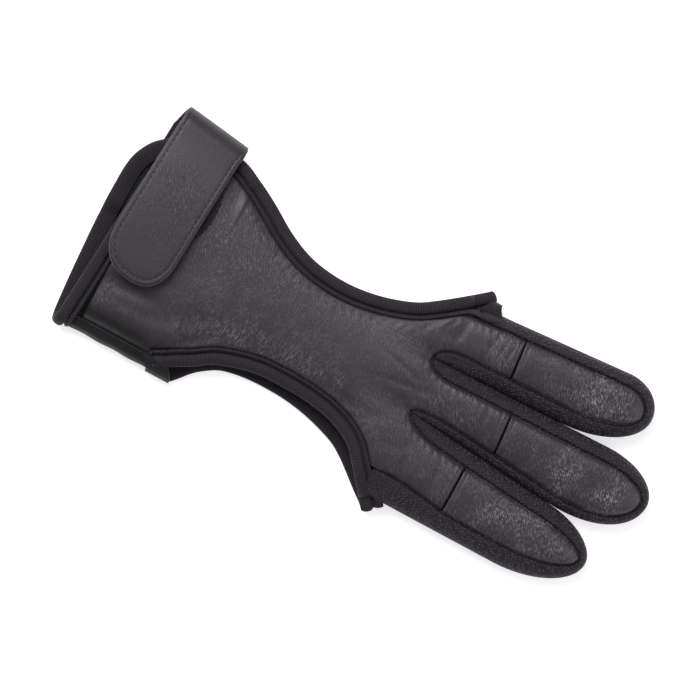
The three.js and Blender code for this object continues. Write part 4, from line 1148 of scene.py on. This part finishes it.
def turnDown(front, frontOut, backEnd, backOut, turn):
    share = np.linspace(0, 1, 40)[1:-1, None]
    points = mix(front, backEnd, share)
    bulge = np.sin(math.pi * share[:, 0] ** turn["late"])
    points[:, 0] += turn["x"] * bulge
    points[:, 1] += turn["y"] * bulge
    points[:, 2] = mix(backEnd[2], front[2], (1 + np.cos(math.pi * share[:, 0])) / 2)
    middle = np.array([*turn["out"], 0])
    out = mix(mix(frontOut, middle, ease(share / 0.3)), backOut, ease((share - 0.7) / 0.3))
    return points, unit(out)


def smoothed(values, sigma):
    reach = int(3 * sigma)
    kernel = np.exp(-0.5 * (np.arange(-reach, reach + 1) / sigma) ** 2)
    kernel /= kernel.sum()
    padded = np.vstack([values[-reach:], values, values[:reach]])
    return np.stack([np.convolve(padded[:, k], kernel, mode="valid") for k in range(values.shape[1])], axis=1)


def tapeRun(opening):
    # stations round the loop: place, the way its width points, allowance, how plain and how much in front
    lines = [paths[opening + side] for side in ("Front", "Back")]
    flatOut = [np.column_stack([outs[opening + side], np.zeros(len(outs[opening + side]))])
               for side in ("Front", "Back")]
    near, far = turns[opening + "Near"], turns[opening + "Far"]
    frontX, frontY = lines[0].T
    frontZ = leatherTop(frontX, frontY) - tape["sunk"]
    underStrap = bell(frontY - tape["pressedAt"], tape["pressedOver"]) * (frontX < tape["pressedTo"])
    frontZ -= tape["pressed"] * underStrap
    backZ = backFloor(lines[1][:, 0], lines[1][:, 1]) + tape["floor"] + tape["thick"] / 2
    a, b = np.column_stack([lines[0], frontZ]), np.column_stack([lines[1], backZ])
    farTurn = turnDown(a[-1], flatOut[0][-1], b[-1], flatOut[1][-1], far)
    nearTurn = turnDown(a[0], flatOut[0][0], b[0], flatOut[1][0], near)

    def grows(count, key):
        s = np.arange(count) * tapeStep
        return (tape[key] + far[key] * ease((s - s[-1] + far["over"]) / far["over"])
                + near[key] * ease((near["over"] - s) / near["over"]))

    def flatRun(points, out, inFront):
        count = len(points)
        return np.column_stack([points, out, grows(count, "extra"), grows(count, "plain"),
                                np.full(count, inFront)])

    def turnedRun(points, out, turn):
        row = [tape["extra"] + turn["extra"], turn["plain"], 0.5]
        return np.column_stack([points, out, np.tile(row, (len(points), 1))])

    stations = np.vstack([flatRun(a, flatOut[0], 1), turnedRun(*farTurn, far),
                          flatRun(b, flatOut[1], 0)[::-1], turnedRun(*nearTurn, near)[::-1]])
    closed = np.vstack([stations, stations[:1]])
    lengths = np.concatenate([[0], np.cumsum(np.linalg.norm(np.diff(closed[:, :3], axis=0), axis=1))])
    count = int(lengths[-1] / tape["station"])
    at = np.linspace(0, lengths[-1], count, endpoint=False)
    even = np.stack([np.interp(at, lengths, closed[:, k]) for k in range(9)], axis=1)
    return smoothed(even, tape["smoothing"]), lengths[-1]


def buildTape(opening, name, node):
    stations, length = tapeRun(opening)
    points, out, extra, plain, inFront = stations[:, :3], stations[:, 3:6], *stations[:, 6:].T
    onward = np.roll(points, -1, axis=0) - np.roll(points, 1, axis=0)
    tangent = unit(smoothed(onward, tape["smoothing"]))
    up = unit(np.cross(tangent, out))
    wide = np.cross(up, tangent)
    flip = -1 if np.mean(up[inFront > 0.9, 2]) < 0 else 1
    up = up * flip
    profile = np.array(tapeProfile + tapeProfile[:1])
    flatRise = np.array(plainRise + plainRise[:1])
    count = len(points)
    ribCount = round(length / tapeRib)
    swell = 1 + 0.05 * np.sin(np.arange(count) * 0.11) + 0.04 * np.sin(np.arange(count) * 0.047 + 1)

    def onTape(i, across, rise, moves):
        spot = points[i] + wide[i] * (across - extra[i] * moves)[:, None]
        spot = spot + up[i] * (rise * swell[i])[:, None]
        # the allowance lies on the leather and the knit beside it
        rides = (moves > 0.3) & (rise > 0.2) & (inFront[i] > 0.6)
        over = 0.35 * rise + 0.6 * np.clip((extra[i] - 1) / 2, 0, 1)
        z = np.maximum(spot[:, 2], tape["lowest"])
        spot[:, 2] = np.where(rides, np.maximum(z, leatherTop(spot[:, 0], spot[:, 1]) + over), z)
        return spot

    def shape(u, v):
        i = np.round(u * count).astype(int) % count
        j = np.round(v * (len(profile) - 1)).astype(int)
        rise = mix(profile[j, 1], flatRise[j], plain[i])
        # along the back its allowance is under the fabric
        tucked = mix(-0.55, rise, np.clip(inFront[i] * 2, 0, 1))
        rise = np.where((profile[j, 0] < -1.5) & (rise > -0.5), tucked, rise)
        spot = onTape(i, profile[j, 0], rise, profile[j, 2])
        return place(*spot.T), np.stack([u * ribCount * tapeRib, v * tape["girth"]], axis=1)

    piece = makeSheet(name, count, len(profile) - 1, shape, flip=flip > 0)
    soften = piece.modifiers.new("soften", "SUBSURF")
    soften.levels = soften.render_levels = 1
    applyModifiers(piece)
    finishPiece(piece, tapeFinish, "bound_tape", node, smooth=60)
    # the machine stitches that hold its inner edge
    at = np.arange(3, count, tape["spacing"] / (length / count)).astype(int)
    at = at[(plain[at] < 0.5) & (inFront[at] > 0.9)]
    spots = onTape(at, *[np.full(len(at), tape[key]) for key in ("stitchAcross", "stitchRise", "stitchMoves")])
    slanted = tangent[at] * tape["slantAlong"] + wide[at] * tape["slantAcross"]
    sewStitches(name + "_stitches", spots, slanted, up[at], tape["stitch"], thread, "bound_tape", node)


# Ends of the tape that are folded flat over the side: a profile across and up, the places along the glove of
# their two sides at the top and at the edge, and from where across and over how far those places change
tabForm = {"wall": 1.1, "bevel": 0.3, "step": 0.12, "smoothing": 3, "trim": 8, "wave": 0.12, "waves": 7,
           "girth": 16, "columns": 40, "rows": 70}
tabs = [
    {"name": "thumb_opening_tape_end", "node": "thumb_opening_binding", "flip": True,
     "left": (35.7, 38.5), "right": (44.9, 47.3), "draws": (34.5, 5.4),
     "side": [(-34.3, 8.6), (-34.7, 10.4), (-35.4, 10.9), (-37.2, 10.6), (-39.0, 9.2), (-40.0, 6.6),
              (-40.3, 3.6), (-40.1, 1.4), (-39.2, 0.4), (-37.0, 0.3)]},
    {"name": "wrist_edge_tape_end", "node": "wrist_edge_binding", "flip": False,
     "left": (127.5, 129.6), "right": (135.6, 133.7), "draws": (31.4, 4.6),
     "side": [(30.6, 9.2), (31.0, 10.2), (32.2, 10.3), (34.2, 9.3), (35.6, 7.8), (36.3, 6.0),
              (36.5, 3.6), (36.3, 1.6), (35.4, 0.5), (33.6, 0.4)]},
]


def tabShape(tab):
    def shape(u, v):
        # smoothing wraps round, so both ends of the profile are trimmed
        side = smoothed(evenly(np.array(tab["side"]), tabForm["step"]), tabForm["smoothing"])
        side = evenly(side[tabForm["trim"]:-tabForm["trim"]], tabForm["step"])
        at = v * (len(side) - 1)
        y, z = [np.interp(at, np.arange(len(side)), side[:, k]) for k in (0, 1)]
        start, over = tab["draws"]
        drift = np.where(v < 0.75, ease((np.abs(y) - start) / over), 1)
        x = mix(mix(*tab["left"], drift), mix(*tab["right"], drift), u)
        z = z + tabForm["wave"] * np.sin(u * tabForm["waves"]) * (z > 2)
        return place(x, y, z), np.stack([v * tabForm["girth"], x], axis=1)

    return shape


def buildTab(tab):
    piece = makeSheet(tab["name"], tabForm["columns"], tabForm["rows"], tabShape(tab), flip=tab["flip"])
    thicken(piece, tabForm["wall"], bevel=tabForm["bevel"], segments=3)
    finishPiece(piece, shadedTabFinish, "bound_tape", tab["node"], smooth=50)


buildTape("thumb", "thumb_opening_tape", "thumb_opening_binding")
buildTape("outer", "wrist_edge_tape", "wrist_edge_binding")
for tab in tabs:
    buildTab(tab)
print("the bound tape is made")

# Closure strap: a sewn end under the cuff, a fold and the tab over the palm


def strapSurface(s, w, offset):
    # s in mm from the fold, over the palm above 0 and under the cuff below it; w from -1 to 1 across
    half = strap["width"] / 2
    x = strap["along"] + w * half
    crest = strap["fold"] - strap["slope"] * w * half - strap["wall"] / 2
    root = strap["wall"] / 2
    top = leatherTop(x, strap["fold"] - palm["height"] / 2) + strap["stack"] + strap["wall"] / 2
    radius = (top - root) / 2
    turn = crest - radius
    tilt = strap["tilt"]
    arc = (math.pi - tilt) * radius
    # under the cuff
    y1 = turn + s
    p1 = np.stack([strapMiddle(y1) + strap["rootShift"] + w * half, y1, root - offset], axis=-1)
    # round the fold
    angle = (math.pi - tilt) * np.clip(s / arc, 0, 1) - math.pi / 2
    r = radius + offset
    p2 = np.stack([x + strap["rootShift"] * (1 - np.clip(2 * s / arc, 0, 1)), turn + r * np.cos(angle),
                   root + radius + r * np.sin(angle)], axis=-1)
    # over the palm
    onward = s - arc
    y3 = turn + radius * math.sin(tilt) - onward
    z3 = root + radius * (1 + math.cos(tilt)) + onward * math.tan(tilt)
    resting = leatherTop(x, y3) + strap["stack"] + strap["wall"] / 2
    z3 = mix(z3, resting, ease(onward / strap["settles"])) + offset
    p3 = np.stack([strapMiddle(y3) + w * half, y3, z3], axis=-1)
    return np.where((s < 0)[..., None], p1, np.where((s < arc)[..., None], p2, p3))


def strapLimits(inset):
    # where the straight part of the strap begins and ends, and the length of its round end
    start = strap["rootHidden"] - strap["root"] + inset
    body = strap["reach"] - inset - strap["round"]
    return start, body, strap["round"]


def strapShape(inset, offset, pressed, only=None):
    half = strap["width"] / 2
    start, body, rounded = strapLimits(inset)
    across, along = strap["acrossPower"], strap["alongPower"]
    if only:  # just the part between two places along it
        start, body, rounded = only[0] or start, only[1] or body, rounded if only[1] is None else 0.01

    straight = strap["straightShare"]

    def shape(u, v):
        # the rows lie closer towards both edges, and the columns towards the end
        w = 2 * v - 1
        w = np.sign(w) * (1 - (1 - np.abs(w)) ** 1.35)
        end = body + rounded * (1 - np.abs(w) ** across) ** (1 / along)
        f = np.clip((u - straight) / (1 - straight), 0, 1)
        s = np.where(u < straight, mix(start, body, u / straight), mix(body, end, f ** 0.8))
        past = np.clip((s - body) / rounded, 0, 1)
        inside = (1 - (np.abs(w) ** across + past ** along) ** 0.42) * half
        d = np.clip(np.where(s > body, inside, np.minimum((1 - np.abs(w)) * half, s - start)), 0, half)
        lift = offset - strap["roll"] * bell(d, strap["rollWidth"])
        # the seam draws the leather down, and the layers between the two rows of stitches stand up a little
        stands = strap["stands"] * (1 - np.exp(-np.clip(d - strap["seam"], 0, 9) / strap["standsOver"]))
        lift = lift - pressed * (strap["groove"] * bell(d - strap["seam"], strap["grooveWidth"]) - stands)
        spots = strapSurface(s, w * (half - inset) / half, lift)
        return place(*spots.T), np.stack([s, w * half], axis=1)

    return shape


def strapRow(inset, step):
    # points along the strap's edge, up one side, round the end and down the other
    half = strap["width"] / 2
    start, body, rounded = strapLimits(inset)
    bend = np.linspace(0, math.pi, 80)
    w = np.sign(np.cos(bend)) * np.abs(np.cos(bend)) ** 0.8
    s = body + rounded * (1 - np.abs(w) ** strap["acrossPower"]) ** (1 / strap["alongPower"])
    side = np.linspace(start, body, 60)[:-1]
    w = np.concatenate([np.ones(59), w, -np.ones(59)]) * (half - inset)
    s = np.concatenate([side, s, side[::-1]])
    row = evenly(np.column_stack([s, w]), step)
    return row[:, 0], row[:, 1] / half


def buildStrap():
    top = makeSheet("closure_strap_leather", 210, 60, strapShape(strap["rim"], strap["leatherLift"], 1.0))
    x, y = planOf(top)
    # a few wrinkles where it lies on the palm, and hardly any towards the fold
    wrinkled = strap["everywhere"]
    for cx, cy, length, width, amount in strap["wrinkles"]:
        wrinkled = wrinkled + amount * bell(x - cx, length) * bell(y - cy, width)
    wrinkled = wrinkled * ease((strap["plainFrom"] - y) / strap["plainOver"])
    paintAttribute(top, "grain", np.clip(wrinkled, 0, 1))
    thicken(top, strap["leather"])
    finishPiece(top, strapLeather, "strap_leather", "closure_strap", smooth=60)
    # the backing shows as a raw edge round the tab, and as dark webbing under the cuff
    change = strap["change"]
    for name, columns, only, finish in (("closure_strap_backing", 190, (change, None), rawEdge),
                                        ("closure_strap_webbing", 60, (None, change), tapeFinish)):
        under = makeSheet(name, columns, 44, strapShape(0, strap["backingLift"], 0, only))
        thicken(under, strap["backing"], bevel=0.15)
        finishPiece(under, finish, "strap_leather", "closure_strap", smooth=60)
    s, w = strapRow(strap["rim"] + strap["seam"], strap["stitchSpacing"])
    line = strapSurface(s, w, np.full(len(s), strap["stitchLift"]))
    up = unit(strapSurface(s, w, np.full(len(s), strap["stitchLift"] + 0.5)) - line)
    along = np.gradient(line, axis=0)
    sewn = slice(1, -1, 2)  # a stitch on every other point, with a gap between
    sewStitches("closure_strap_stitches", line[sewn], along[sewn], up[sewn], strap["stitch"], darkThread,
                "strap_leather", "closure_strap")


buildStrap()

# Loop patch of the fastener: a soft pad on the palm with a ragged edge beside the strap

loop = {"centre": (23.2, 17), "half": (11.7, 11.8), "lift": 0.3, "pile": 1.1, "wall": 0.5, "rows": 64,
        "corners": 0.3, "ragged": 0.014, "uneven": 0.1}


def loopShape(u, v):
    a, b = 2 * u - 1, 2 * v - 1
    # a square grid drawn into a rounded square
    x = a * np.sqrt(1 - loop["corners"] * b * b)
    y = b * np.sqrt(1 - loop["corners"] * a * a)
    rim = np.maximum(np.abs(a), np.abs(b))
    threads = np.sin(17 * x + 31 * y) + np.sin(67 * y - 23 * x) + np.sin(109 * y + 41 * x)
    ragged = 1 + loop["ragged"] * rim ** 8 * threads
    x = loop["centre"][0] + loop["half"][0] * x * ragged
    y = loop["centre"][1] + loop["half"][1] * y * ragged
    z = leatherTop(x, y) + loop["lift"] + loop["pile"] * (1 - rim ** 10)
    z = z + loop["uneven"] * np.sin(6.1 * x + 2 * np.sin(4.3 * y)) * np.sin(5.7 * y)
    return place(x, y, z), np.stack([x, y], axis=1)


def buildLoopPatch():
    piece = makeSheet("fastener_loop_patch", loop["rows"], loop["rows"], loopShape)
    thicken(piece, loop["wall"])
    finishPiece(piece, pile, "fastener_pile", "loop_patch")


buildLoopPatch()
print("the strap is made")

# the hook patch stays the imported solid, since the strap hides it, and gets the pile's finish
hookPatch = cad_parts["hook_patch"]
hookPatch.data.materials.clear()
hookPatch.data.materials.append(pile)

bpy.ops.object.select_all(action="DESELECT")
